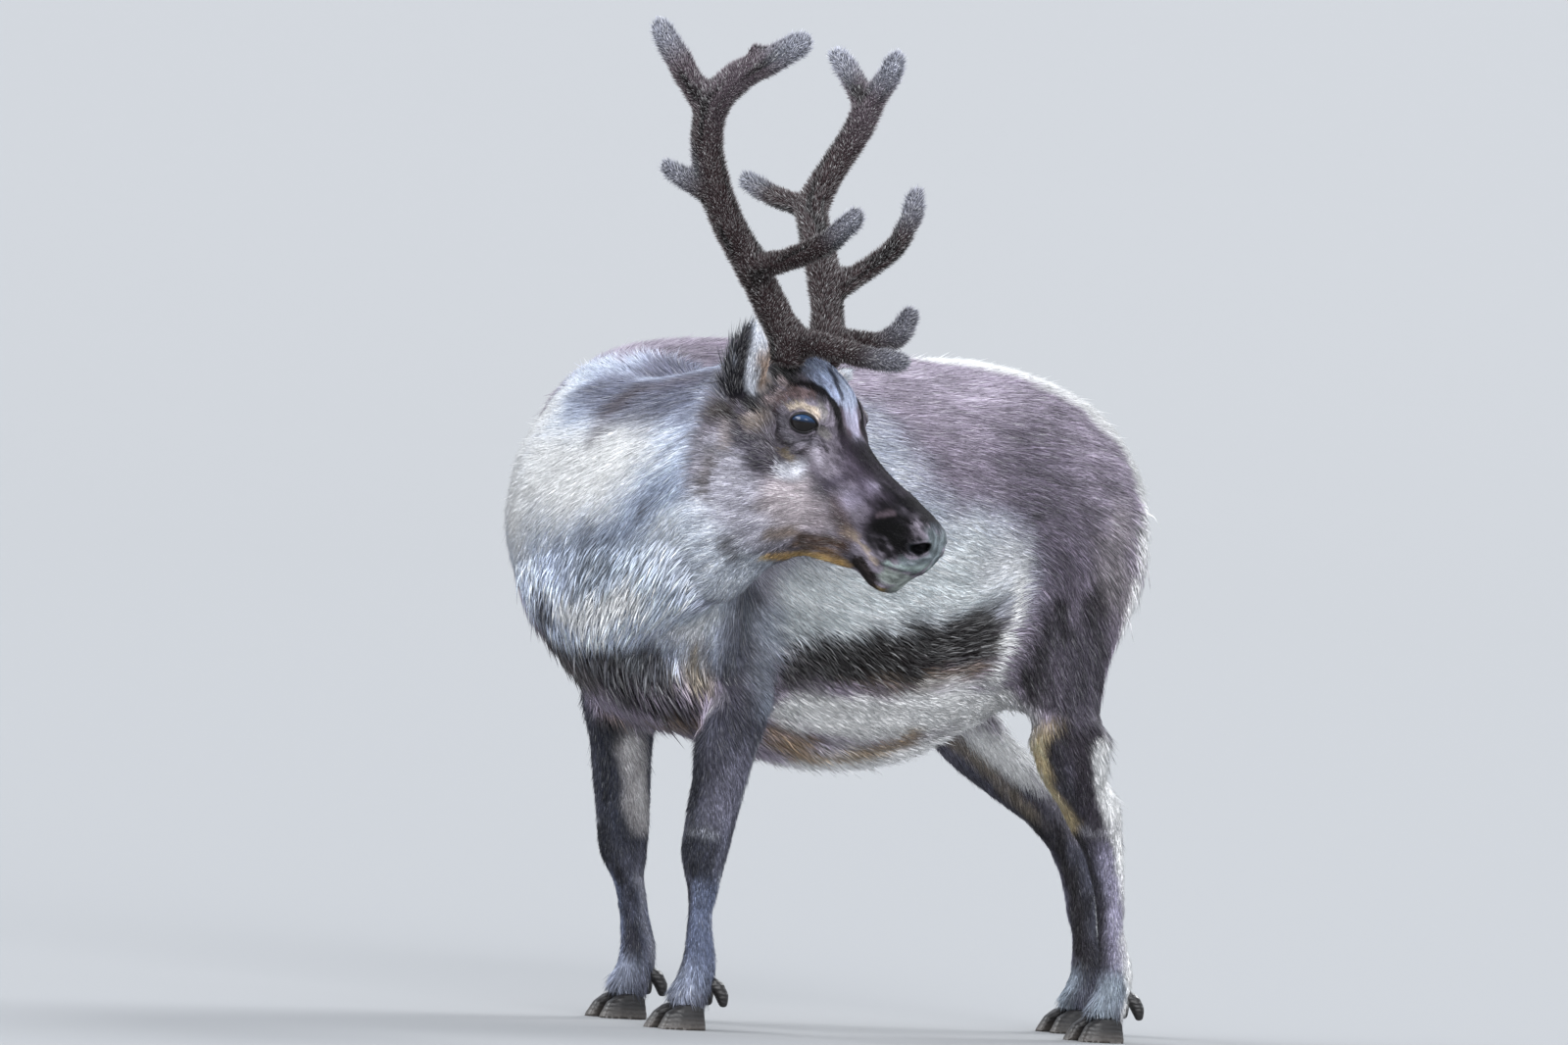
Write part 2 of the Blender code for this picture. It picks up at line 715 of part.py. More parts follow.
def fineness(place):
    """How fine the facets stay there, from 0 to 1."""
    if (place - in_head(*HEAD_MIDDLE)).length < HEAD_REACH:
        return FINE_HEAD
    return FINE_LEGS if place.z < LEG_REACH else FINE_TRUNK


def build():
    """The whole animal: flesh first, then what grows from it is cut to lie against it."""
    claws = feet()
    s, lat, up = EYE_PLACE
    eyes = [
        ellipsoid(f"eye_{word}", in_head(s, side * lat, up), (EYE_RADIUS,) * 3, sides=12)
        for word, side in (("left", 1), ("right", -1))
    ]
    forms = [trunk(), neck(), *head(), *legs()]
    flesh = blended("flesh", forms, BODY_VOXEL, 6, BODY_TRIANGLES, fineness)
    antlers = {side: antler_body(side, branches) for side, branches in ANTLERS.items()}
    for growth in (tail(), ear("left"), ear("right"), *antlers.values()):
        cut(growth, [grown_copy(flesh, GAP)])
        keep_largest(growth)
    cut(flesh, [grown_copy(obj, GAP) for obj in (*claws, *eyes)])
    part_flesh(flesh)
    for side, body in antlers.items():
        part_antler(body, side, ANTLERS[side])


def finish():
    """Puts the origin under the middle of the animal, and gives each piece its material."""
    finishes = make_materials()
    kinds = {"claw": "claw", "dewclaw": "claw", "eye": "eye", "antler": "velvet"}
    collection = bpy.data.collections.new("reindeer")
    bpy.context.scene.collection.children.link(collection)
    for obj in list(bpy.context.scene.collection.objects):
        bpy.context.scene.collection.objects.unlink(obj)
        collection.objects.link(obj)
        obj.data.transform(Matrix.Translation(-MIDDLE))
        obj.data.materials.clear()
        obj.data.materials.append(finishes[kinds.get(obj.name.split("_")[0], "coat")])
        obj.data.shade_smooth()


clear_scene()
build()
finish()
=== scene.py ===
import math

import bmesh
import bpy
import numpy as np
from mathutils import Matrix, Vector
from mathutils.kdtree import KDTree


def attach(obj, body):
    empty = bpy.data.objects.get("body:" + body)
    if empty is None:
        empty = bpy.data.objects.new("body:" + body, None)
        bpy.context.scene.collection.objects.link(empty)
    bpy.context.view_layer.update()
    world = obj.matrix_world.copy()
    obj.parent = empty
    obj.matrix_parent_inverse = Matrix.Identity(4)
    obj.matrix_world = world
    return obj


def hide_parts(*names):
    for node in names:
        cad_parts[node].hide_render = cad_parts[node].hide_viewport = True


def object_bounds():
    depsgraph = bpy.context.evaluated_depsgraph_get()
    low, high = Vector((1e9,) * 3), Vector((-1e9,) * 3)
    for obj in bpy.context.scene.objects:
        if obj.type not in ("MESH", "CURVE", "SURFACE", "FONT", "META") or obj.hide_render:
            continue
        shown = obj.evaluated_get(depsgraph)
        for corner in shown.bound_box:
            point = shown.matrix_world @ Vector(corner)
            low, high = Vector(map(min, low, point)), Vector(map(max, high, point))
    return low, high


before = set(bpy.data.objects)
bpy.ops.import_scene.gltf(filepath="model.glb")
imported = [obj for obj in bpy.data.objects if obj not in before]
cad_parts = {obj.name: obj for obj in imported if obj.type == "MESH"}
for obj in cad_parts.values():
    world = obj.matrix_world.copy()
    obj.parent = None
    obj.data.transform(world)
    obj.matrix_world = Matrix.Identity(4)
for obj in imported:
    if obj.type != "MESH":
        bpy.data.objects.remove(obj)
cad_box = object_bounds()

# Camera and soft light
# The camera stands level with the animal's back, three quarters from the front on its left side,
# and is rolled a little, as the hand-held one was.

CAMERA_AZIMUTH = math.radians(52)
CAMERA_HEIGHT = math.radians(1)
CAMERA_ROLL = math.radians(4)
CAMERA_DISTANCE = 20.0
PICTURE_WIDTH = 1600 / 845  # of the world at the trunk's middle, in metres
AIM = Vector((-0.1728, -0.0666, 0.608))

ahead = Vector((
    -math.sin(CAMERA_AZIMUTH) * math.cos(CAMERA_HEIGHT),
    math.cos(CAMERA_AZIMUTH) * math.cos(CAMERA_HEIGHT),
    -math.sin(CAMERA_HEIGHT),
))
level = Vector((math.cos(CAMERA_AZIMUTH), math.sin(CAMERA_AZIMUTH), 0))
upright = level.cross(ahead)
to_right = math.cos(CAMERA_ROLL) * level + math.sin(CAMERA_ROLL) * upright
to_top = -math.sin(CAMERA_ROLL) * level + math.cos(CAMERA_ROLL) * upright
camera = bpy.data.objects.new("camera", bpy.data.cameras.new("camera"))
camera.matrix_world = Matrix.Translation(AIM - CAMERA_DISTANCE * ahead) @ Matrix(
    (to_right, to_top, -ahead)
).transposed().to_4x4()
camera.data.sensor_width = 36
camera.data.lens = camera.data.sensor_width * CAMERA_DISTANCE / PICTURE_WIDTH
camera.data.clip_end = 200
bpy.context.scene.collection.objects.link(camera)
bpy.context.scene.camera = camera


def soft_sun(name, come_from, spread, strength, colour):
    """A broad even light, like a bright patch of overcast sky in that direction."""
    lamp = bpy.data.lights.new(name, "SUN")
    lamp.angle = math.radians(spread)
    lamp.energy = strength
    lamp.color = colour
    obj = bpy.data.objects.new(name, lamp)
    obj.rotation_mode = "QUATERNION"
    obj.rotation_quaternion = (-Vector(come_from)).to_track_quat("-Z", "Y")
    bpy.context.scene.collection.objects.link(obj)


soft_sun("key", (-0.40, -1.0, 0.55), 45, 4.2, (0.96, 0.98, 1.0))
soft_sun("fill", (1.0, -0.35, 0.28), 45, 4.2, (0.97, 0.98, 1.0))
soft_sun("rim", (-0.25, 1.0, 0.75), 20, 2.6, (0.96, 0.98, 1.0))

world = bpy.data.worlds.new("studio")
world.use_nodes = True
world.node_tree.nodes["Background"].inputs["Color"].default_value = (0.86, 0.91, 1.0, 1)
world.node_tree.nodes["Background"].inputs["Strength"].default_value = 1.15
bpy.context.scene.world = world
bpy.context.scene.view_settings.view_transform = "Standard"

# Floor
# A plain pale studio floor that turns up into a low wall far behind the animal on every side.

FLOOR_FLAT = 24.0  # radius of the level part
FLOOR_RISE = 24.0
FLOOR_STEPS = 10

bm = bmesh.new()
rim = [bm.verts.new((0, 0, 0)), bm.verts.new((FLOOR_FLAT, 0, 0))]
for i in range(1, FLOOR_STEPS + 1):
    turn = math.pi / 2 * i / FLOOR_STEPS
    rim.append(bm.verts.new((
        FLOOR_FLAT + FLOOR_RISE * math.sin(turn), 0, FLOOR_RISE * (1 - math.cos(turn)),
    )))
profile = [bm.edges.new(pair) for pair in zip(rim, rim[1:])]
bmesh.ops.spin(
    bm, geom=rim + profile, cent=(0, 0, 0), axis=(0, 0, 1), angle=math.tau, steps=96, use_merge=True
)
bmesh.ops.remove_doubles(bm, verts=bm.verts, dist=1e-5)
bmesh.ops.recalc_face_normals(bm, faces=bm.faces)
floor_mesh = bpy.data.meshes.new("floor")
bm.to_mesh(floor_mesh)
bm.free()
floor_mesh.shade_smooth()
floor = bpy.data.objects.new("floor", floor_mesh)
bpy.context.scene.collection.objects.link(floor)
floor_paint = bpy.data.materials.new("floor_paint")
floor_paint.use_nodes = True
shader = floor_paint.node_tree.nodes["Principled BSDF"]
shader.inputs["Base Color"].default_value = (0.235, 0.240, 0.246, 1)
shader.inputs["Roughness"].default_value = 0.9
floor_mesh.materials.append(floor_paint)
floor.visible_shadow = False  # the low fill light comes over the wall

# Skin
# One unbroken hide over trunk, neck, head, ears, tail and legs, lying under the coat by the hair's
# depth. It is blended from the flesh nodes, eased where they are faceted, and then shaped.

SKIN_VOXEL = 0.0046
TRUNK_MIDDLE = np.array((-0.13851, -0.02269, 0.0))  # where the spine's middle stands on the floor
NOSE_TIP = np.array((0.33549, -0.22069, 0.603))
HEAD_HEADING = math.radians(22)
HEAD_PITCH = math.radians(30)
HEAD_FORWARD = np.array((
    math.cos(HEAD_PITCH) * math.cos(HEAD_HEADING),
    math.cos(HEAD_PITCH) * math.sin(HEAD_HEADING),
    -math.sin(HEAD_PITCH),
))
HEAD_LEFT = np.array((-math.sin(HEAD_HEADING), math.cos(HEAD_HEADING), 0.0))
HEAD_UP = np.cross(HEAD_FORWARD, HEAD_LEFT)
HEAD_AXES = np.array((HEAD_FORWARD, HEAD_LEFT, HEAD_UP))
LEGS = [f"leg_{end}_{side}" for end in ("front", "hind") for side in ("left", "right")]
REGIONS = ["trunk", "neck", "head", "tail", "ear_left", "ear_right", *LEGS]
FLESH = [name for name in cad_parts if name.startswith(tuple(REGIONS))]
SURE = 1e-9


def in_head(points):
    """World points as s forward from the nose tip, lat to the head's left, up over the forehead."""
    return (points - NOSE_TIP) @ HEAD_AXES.T


def from_head(s, lat, up):
    return NOSE_TIP + np.array((s, lat, up)) @ HEAD_AXES


def unit(vectors):
    return vectors / np.maximum(np.linalg.norm(vectors, axis=-1, keepdims=True), SURE)


def rise(values, low, high):
    """0 below low, 1 above high, and a smooth ramp between them."""
    t = np.clip((values - low) / (high - low), 0, 1)
    return t * t * (3 - 2 * t)


def near_line(points, line):
    """How far each point is from a line of joined stretches, and how far along it, from 0 to 1."""
    line = np.array(line, float)
    best = np.full(len(points), np.inf)
    along = np.zeros(len(points))
    for i, (a, b) in enumerate(zip(line, line[1:])):
        t = np.clip((points - a) @ (b - a) / ((b - a) @ (b - a)), 0, 1)
        away = np.linalg.norm(points - a - t[:, None] * (b - a), axis=1)
        closer = away < best
        best[closer] = away[closer]
        along[closer] = (i + t[closer]) / (len(line) - 1)
    return best, along


def grown_copy(bm, node, by):
    """Adds a CAD node's shape, welded and moved outwards, to the bmesh."""
    piece = bmesh.new()
    piece.from_mesh(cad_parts[node].data)
    bmesh.ops.remove_doubles(piece, verts=piece.verts, dist=1e-5)
    piece.normal_update()
    places = [vertex.co + by * vertex.normal for vertex in piece.verts]
    for vertex, place in zip(piece.verts, places):
        vertex.co = place
    mesh = bpy.data.meshes.new("piece")
    piece.to_mesh(mesh)
    piece.free()
    bm.from_mesh(mesh)
    bpy.data.meshes.remove(mesh)


def blended(name, nodes, grow, voxel):
    """The nodes made one closed surface of even faces."""
    bm = bmesh.new()
    for node in nodes:
        grown_copy(bm, node, grow.get(node, grow["all"]))
    mesh = bpy.data.meshes.new(name)
    bm.to_mesh(mesh)
    bm.free()
    obj = bpy.data.objects.new(name, mesh)
    bpy.context.scene.collection.objects.link(obj)
    remesh = obj.modifiers.new("blend", "REMESH")
    remesh.mode = "VOXEL"
    remesh.voxel_size = voxel
    graph = bpy.context.evaluated_depsgraph_get()
    obj.data = bpy.data.meshes.new_from_object(obj.evaluated_get(graph))
    obj.modifiers.clear()
    return obj


def read_array(elements, field, width, kind=np.float64):
    values = np.empty(len(elements) * width, kind)
    elements.foreach_get(field, values)
    return values.reshape(-1, width) if width > 1 else values


def relaxed(values, edges, rounds, share=0.5):
    """Each value drawn, that many times, towards the mean of its neighbours' along the surface."""
    a, b = edges.T
    count = len(values)
    degree = np.maximum(np.bincount(edges.ravel(), minlength=count), 1)
    values = values.copy()
    for _ in range(rounds):
        for k in range(values.shape[1]):
            column = values[:, k]
            sums = np.bincount(a, column[b], count) + np.bincount(b, column[a], count)
            values[:, k] = column + share * (sums / degree - column)
    return values


def region_shares(points, edges):
    """How much each point belongs to each region, blended over a few centimetres."""
    samples = []
    for name in FLESH:
        region = next(i for i, start in enumerate(REGIONS) if name.startswith(start))
        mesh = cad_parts[name].data
        samples += [(vertex.co, region) for vertex in mesh.vertices]
        samples += [(face.center, region) for face in mesh.polygons]
    tree = KDTree(len(samples))
    for i, (place, _) in enumerate(samples):
        tree.insert(place, i)
    tree.balance()
    shares = np.zeros((len(points), len(REGIONS)))
    for i, point in enumerate(points):
        shares[i, samples[tree.find(point)[1]][1]] = 1
    return relaxed(shares, edges, 12)


EASING = {"trunk": 150, "neck": 110, "head": 9, "tail": 12, "ear": 3, "leg": 16}


def eased(points, edges, shares):
    """The surface smoothed, most on the broad forms and least on the ears and head."""
    done = 0
    for rounds in sorted(set(EASING.values())):
        moved = relaxed(points, edges, rounds - done)
        wanted = sum(
            shares[:, i] for i, region in enumerate(REGIONS)
            if EASING[region.split("_")[0]] >= rounds
        )
        points = points + wanted[:, None] * (moved - points)
        done = rounds
    return points


EYE_GROWTH = 0.0016  # the lids' thickness over the eye
skin = blended(
    "skin", [*FLESH, "eye_left", "eye_right"],
    {"all": 0.0009, "eye_left": EYE_GROWTH, "eye_right": EYE_GROWTH}, SKIN_VOXEL,
)
hide = read_array(skin.data.vertices, "co", 3)
hide_edges = read_array(skin.data.edges, "vertices", 2, np.int32)
hide = eased(hide, hide_edges, region_shares(hide, hide_edges))
skin.data.vertices.foreach_set("co", hide.astype(np.float32).ravel())

# The face has finer faces than the body, finest round eyes, nostrils and mouth
FACE_DETAIL = (
    # middle as s, lat, up, on both sides, and reach
    (((-0.14, 0.0, -0.02), 0.190),),
    (
        ((-0.212, 0.0555, 0.025), 0.040),
        ((-0.020, 0.020, -0.025), 0.042),
        ((-0.048, 0.030, -0.058), 0.036),
    ),
)
bm = bmesh.new()
bm.from_mesh(skin.data)
for places_of_detail in FACE_DETAIL:
    bm.verts.index_update()
    places = in_head(np.array([vertex.co for vertex in bm.verts]))
    near = np.zeros(len(places), bool)
    for (s, lat, up), reach in places_of_detail:
        for side in (-1, 1):
            near |= np.linalg.norm(places - (s, side * lat, up), axis=1) < reach
    chosen = [edge for edge in bm.edges if near[edge.verts[0].index] and near[edge.verts[1].index]]
    bmesh.ops.subdivide_edges(bm, edges=chosen, cuts=1, use_grid_fill=True)
bmesh.ops.triangulate(bm, faces=bm.faces)
bm.to_mesh(skin.data)
bm.free()

hide = read_array(skin.data.vertices, "co", 3)
hide_edges = read_array(skin.data.edges, "vertices", 2, np.int32)
hide_faces = read_array(skin.data.polygons, "vertices", 3, np.int32)
shares = region_shares(hide, hide_edges)
share_of = {name: shares[:, i] for i, name in enumerate(REGIONS)}


def set_hide(points):
    skin.data.vertices.foreach_set("co", points.astype(np.float32).ravel())
    skin.data.update()
    normals = np.empty(len(points) * 3, np.float32)
    skin.data.vertex_normals.foreach_get("vector", normals)
    return normals.reshape(-1, 3).astype(float)


# The coat's own sizes, as fields over the hide
# Hair is longest under the neck and on the chest, belly and tail, and shortest on the face.
# Every place is given from the middle of the animal's stand: across, along the back, height.

body = hide - TRUNK_MIDDLE
across = np.abs(body[:, 0])
along_back = body[:, 1]
height = body[:, 2]
head = in_head(hide)
head_lat = np.abs(head[:, 1])
head_share = share_of["head"]
ear_share = share_of["ear_left"] + share_of["ear_right"]
leg_share = sum(share_of[leg] for leg in LEGS)
trunk_share = share_of["trunk"] + share_of["neck"] + share_of["tail"]

NECK_LINE = (
    (0.000, -0.190, 0.610), (0.004, -0.290, 0.605), (0.045, -0.358, 0.610), (0.118, -0.376, 0.628),
    (0.190, -0.356, 0.648), (0.245, -0.318, 0.681), (0.285, -0.290, 0.702),
)


def close_to(points, line, reach, soft):
    """1 within reach of the line, and 0 beyond reach and soft."""
    return 1 - rise(near_line(points, line)[0], reach, reach + soft)


MANE = ((0.00, -0.44, 0.47), (0.10, -0.46, 0.49), (0.17, -0.43, 0.51), (0.21, -0.40, 0.52))
CHEST = ((0.0, -0.40, 0.43), (0.02, -0.35, 0.40), (0.06, -0.29, 0.38))
BELLY = ((0.0, -0.20, 0.34), (0.0, 0.0, 0.31), (0.0, 0.20, 0.38))
LOW_FLANK = ((0.17, -0.15, 0.45), (0.18, 0.0, 0.46), (0.18, 0.12, 0.48))
BUTTOCK = ((0.12, 0.40, 0.62), (0.13, 0.37, 0.50), (0.12, 0.36, 0.40))
mirrored = np.column_stack((across, along_back, height))
HAIR_LENGTHS = {
    "trunk": 0.022, "neck": 0.022, "head": 0.0120, "tail": 0.036, "ear": 0.0125, "leg": 0.0120,
}
hair = sum(shares[:, i] * HAIR_LENGTHS[name.split("_")[0]] for i, name in enumerate(REGIONS))
for line, reach, soft, length in (
    (MANE, 0.04, 0.07, 0.046),
    (CHEST, 0.05, 0.07, 0.046),
    (BELLY, 0.06, 0.08, 0.036),
    (LOW_FLANK, 0.03, 0.05, 0.030),
    (BUTTOCK, 0.03, 0.05, 0.036),
):
    where = close_to(body if line is MANE else mirrored, line, reach, soft) * trunk_share
    hair += where * (length - hair)
leg_top = leg_share * rise(height, 0.22, 0.42)
hair += leg_top * (0.020 - hair)
hair += leg_share * (1 - rise(height, 0.055, 0.085)) * (0.019 - hair)
FACE = ((-0.010, 0.0, -0.02), (-0.10, 0.0, 0.0), (-0.20, 0.02, 0.045))
muzzle = 1 - rise(-head[:, 0], 0.045, 0.120)
face = np.maximum(muzzle, close_to(np.column_stack((head[:, 0], head_lat, head[:, 2])),
                                   FACE, 0.035, 0.05)) * head_share
hair += face * (0.0076 - hair)
hair += muzzle * head_share * (0.0052 - hair)
hair = relaxed(hair[:, None], hide_edges, 6)[:, 0]
LAID = 0.24  # how far a hair's tip stands off the hide, as a share of its length
coat_depth = LAID * hair

normals = set_hide(hide)
hide -= (coat_depth * (1 - leg_share) - 0.0016 * leg_share)[:, None] * normals
settled = relaxed(hide, hide_edges, 4)
hide += (trunk_share * (1 - head_share))[:, None] * (settled - hide)
normals = set_hide(hide)

# Face
# Bare black lids lie round eyeballs that fill the sockets. A tear line runs down from the front
# corner of each, and nostrils, lips and the folds of the lids are pressed into the hide.

EYE_PLACE = (-0.214, 0.0555, 0.029)
EYE_RADIUS = 0.0175
EYE_OUTWARD = (0.38, 0.90, 0.20)
EYE_TILT = math.radians(25)  # of the eye's long axis, over the head's own
EYE_OPENING = (0.86, 0.575)  # half length and half height, as shares of the eyeball's radius
EYE_CORNERS = {1: 1.35, -1: 1.9}  # how blunt the front and the rear corner are
LID_STEPS = 72


def eye_axes(side):
    outward = unit(np.array(EYE_OUTWARD) * (1, side, 1))
    forward = np.array((math.cos(EYE_TILT), 0, math.sin(EYE_TILT)))
    forward = unit(forward - forward @ outward * outward)
    over = np.cross(outward, forward)
    return outward, forward, over * np.sign(over[2])


def lid_edge():
    """The opening's edge: along and over, as shares of the eyeball's radius."""
    turns = np.arange(LID_STEPS) / LID_STEPS * math.tau
    u = EYE_OPENING[0] * np.cos(turns)
    blunt = np.where(u > 0, EYE_CORNERS[1], EYE_CORNERS[-1])
    v = EYE_OPENING[1] * np.sign(np.sin(turns)) * np.abs(np.sin(turns)) ** (2 / blunt)
    return u, v


edge_u, edge_v = lid_edge()
edge_turns = np.arctan2(edge_v, edge_u)
edge_order = np.argsort(edge_turns)


def past_lid(points, side):
    """How far past the lid's edge each head place is, as an angle at the eyeball's middle."""
    outward, forward, over = eye_axes(side)
    offset = points - np.array(EYE_PLACE) * (1, side, 1)
    away = np.linalg.norm(offset, axis=1)
    ray = offset / away[:, None]
    u, v, w = ray @ forward, ray @ over, ray @ outward
    edge = np.interp(
        np.arctan2(v, u), edge_turns[edge_order],
        np.hypot(edge_u, edge_v)[edge_order], period=math.tau,
    )
    return np.arccos(np.clip(w, -1, 1)) - np.arcsin(edge), away, ray, v


def hump(values, middle, width):
    return np.exp(-(((values - middle) / width) ** 2))


TEAR_LINE = ((-0.194, 0.0570, 0.032), (-0.184, 0.0510, 0.024), (-0.175, 0.0455, 0.016))
NOSTRIL = (-0.0125, 0.0280, -0.0125)
NOSTRIL_ALONG = (0.829, 0.0, 0.559)
NOSTRIL_OUTWARD = (0.55, 0.83, 0.05)
NOSTRIL_SIZE = (0.0115, 0.0066)
NOSTRIL_DEPTH = 0.009
MOUTH = (
    (0.000, 0.000, -0.046), (-0.010, 0.018, -0.049), (-0.025, 0.027, -0.055),
    (-0.050, 0.034, -0.060), (-0.078, 0.040, -0.059),
)
THROAT = (-0.152, 0.040, -0.172)
JAW_LINE = ((-0.158, 0.020, -0.122), (-0.130, 0.016, -0.106), (-0.100, 0.014, -0.092))
head = in_head(hide)
inward = normals @ HEAD_AXES.T
mirror_head = np.column_stack((head[:, 0], np.abs(head[:, 1]), head[:, 2]))
bib = hump(np.linalg.norm((mirror_head - THROAT) * (1, 0.6, 1), axis=1), 0, 0.046)
head += bib[:, None] * (-0.022, 0, 0.008)
jaw = hump(near_line(mirror_head, JAW_LINE)[0], 0, 0.022)
head[:, 2] -= 0.0055 * jaw
face_out = np.full(len(hide), np.inf)
nostril_in = np.full(len(hide), np.inf)
eye_past = np.full(len(hide), 9.0)
for side in (-1, 1):
    past, away, ray, over_eye = past_lid(head, side)
    near = (away < 0.045) & (head[:, 1] * side > 0)
    lid = EYE_RADIUS + 0.0010 + 0.0016 * rise(past, 0, 0.35)
    lid = np.where(past < 0, EYE_RADIUS - 0.003 * rise(-past, 0, 0.12), lid)
    hold = 1 - rise(past, 0.30, 0.85)
    folds = (
        0.0020 * hump(past, 0.62, 0.10) - 0.0017 * hump(past, 0.44, 0.07)
        - 0.0015 * hump(past, 0.86, 0.07) + 0.0026 * hump(past, 1.1, 0.16) * rise(over_eye, 0.1, 0.6)
    )
    shaped = hold * lid + (1 - hold) * away + folds
    head[near] += ray[near] * (shaped - away)[near, None]
    eye_past = np.where(near, np.minimum(eye_past, past), eye_past)

    flip = np.array((1, side, 1))
    tear = near_line(head, np.array(TEAR_LINE) * flip)[0]
    head -= inward * (0.0016 * hump(tear, 0, 0.0016))[:, None]

    outward = unit(np.array(NOSTRIL_OUTWARD) * flip)
    long_axis = unit(np.array(NOSTRIL_ALONG) - np.array(NOSTRIL_ALONG) @ outward * outward)
    offset = head - np.array(NOSTRIL) * flip
    l, o = offset @ long_axis, offset @ outward
    t = offset @ np.cross(outward, long_axis)
    bend = 0.0035 * (1 - (l / NOSTRIL_SIZE[0]) ** 2)
    oval = np.sqrt((l / NOSTRIL_SIZE[0]) ** 2 + ((t - side * bend * 0.5) / NOSTRIL_SIZE[1]) ** 2)
    facing = (o > -0.012) & (o < 0.02)
    press = NOSTRIL_DEPTH * (1 - rise(oval, 0.55, 1.0)) - 0.0013 * hump(oval, 1.25, 0.22)
    head -= outward * np.where(facing, press, 0)[:, None]
    nostril_in = np.where(facing, np.minimum(nostril_in, oval), nostril_in)

    lips = near_line(head, np.array(MOUTH) * flip)[0]
    face_out = np.minimum(face_out, lips)
head -= inward * (0.0036 * hump(face_out, 0, 0.0016) - 0.0005 * hump(face_out, 0.0050, 0.0024))[:, None]
hide = NOSE_TIP + head @ HEAD_AXES
normals = set_hide(hide)

# Lie of the coat
# The way each hair points along the hide: back along the trunk and down its sides, from head to
# withers on the neck, back over the face, down the legs and out along the ears.

neck_line = np.array(NECK_LINE)
neck_away, neck_along = near_line(body, NECK_LINE)
stretch = np.clip(neck_along * (len(neck_line) - 1), 0, len(neck_line) - 1.001)
neck_way = unit(np.gradient(neck_line, axis=0))
neck_middle = np.empty_like(body)
neck_ahead = np.empty_like(body)
for k in range(3):
    neck_middle[:, k] = np.interp(stretch, np.arange(len(neck_line)), neck_line[:, k])
    neck_ahead[:, k] = np.interp(stretch, np.arange(len(neck_line)), neck_way[:, k])
neck_ahead = unit(neck_ahead)
neck_low = rise(neck_middle[:, 2] - height, -0.10, 0.16)

lie = np.zeros_like(hide)
trunk_lie = np.zeros_like(hide)
trunk_lie[:, 1] = 1
front_fall = rise(-along_back, 0.05, 0.32)
thigh = rise(along_back, 0.15, 0.24) * (1 - rise(height, 0.52, 0.66))
fold_rise = close_to(mirrored, ((0.18, 0.06, 0.46), (0.19, 0.13, 0.53)), 0.02, 0.06)
trunk_lie[:, 2] = -0.30 - 0.7 * front_fall - 2.0 * thigh + 0.9 * fold_rise * (1 - thigh)
neck_lie = -neck_ahead
neck_lie[:, 2] -= 0.25 + 1.3 * neck_low
leg_lie = np.tile((0.0, 0.14, -1.0), (len(hide), 1))
leg_lie[:, 1] += 0.5 * rise(height, 0.27, 0.36)
tail_lie = np.tile((0.0, 0.15, -1.0), (len(hide), 1))
swirl = np.zeros_like(head)
for side in (-1, 1):
    offset = head - np.array(EYE_PLACE) * (1, side, 1)
    reach = np.linalg.norm(offset, axis=1)
    swirl += offset / reach[:, None] * (1.3 * np.exp(-((reach / 0.034) ** 2)))[:, None]
cheek_fall = 0.75 * rise(-head[:, 2], -0.02, 0.06) * rise(-head[:, 0], 0.06, 0.2)
head_lie = (np.column_stack((-np.ones(len(head)), 0 * head_lat, -cheek_fall)) + swirl) @ HEAD_AXES
EARS = {
    "ear_right": ((-0.296, -0.058, -0.012), (-0.304, -0.120, 0.106)),
    "ear_left": ((-0.296, 0.058, -0.014), (-0.302, 0.160, 0.050)),
}
for name, way in (("trunk", trunk_lie), ("neck", neck_lie), ("head", head_lie), ("tail", tail_lie)):
    lie += share_of[name][:, None] * unit(way)
for name in LEGS:
    lie += share_of[name][:, None] * unit(leg_lie)
ear_places = {}
for name, (ear_base, ear_tip) in EARS.items():
    flip = np.array((1, 1 if name.endswith("left") else -1, 1))
    base_at, tip_at = np.array(ear_base) * flip, np.array(ear_tip) * flip
    ear_up = unit(tip_at - base_at)
    ear_front = unit(np.array((1, 0, 0)) - ear_up[0] * ear_up)
    ear_in = np.cross(ear_front, ear_up)
    ear_in *= np.sign(ear_in[2])
    offset = head * flip - base_at
    front_ear = offset @ ear_front
    ear_places[name] = (offset @ ear_up / np.linalg.norm(tip_at - base_at), front_ear, offset @ ear_in)
    behind = 1 - rise(front_ear, -0.016, 0.000)
    way = ear_up - (1.20 * behind)[:, None] * ear_front
    lie += share_of[name][:, None] * unit(way * flip @ HEAD_AXES)
    hair += 0.026 * behind * share_of[name]
for _ in range(3):
    lie = unit(lie - np.sum(lie * normals, axis=1)[:, None] * normals)
    lie = relaxed(lie, hide_edges, 6)
lie = unit(lie - np.sum(lie * normals, axis=1)[:, None] * normals)


def combed(size, rounds, seed):
    """Chance values drawn out along the lie of the coat into streaks, with a spread of 1."""
    a, b = hide_edges.T
    pull = np.abs(np.sum(unit(hide[b] - hide[a]) * unit(lie[a] + lie[b]), axis=1)) ** 8
    count = len(hide)
    total = np.bincount(a, pull, count) + np.bincount(b, pull, count) + SURE
    values = value_noise(hide, size, seed)
    for _ in range(rounds):
        sums = np.bincount(a, pull * values[b], count) + np.bincount(b, pull * values[a], count)
        values = 0.3 * values + 0.7 * sums / total
    values -= values.mean()
    return np.clip(values / values.std(), -2.5, 2.5)


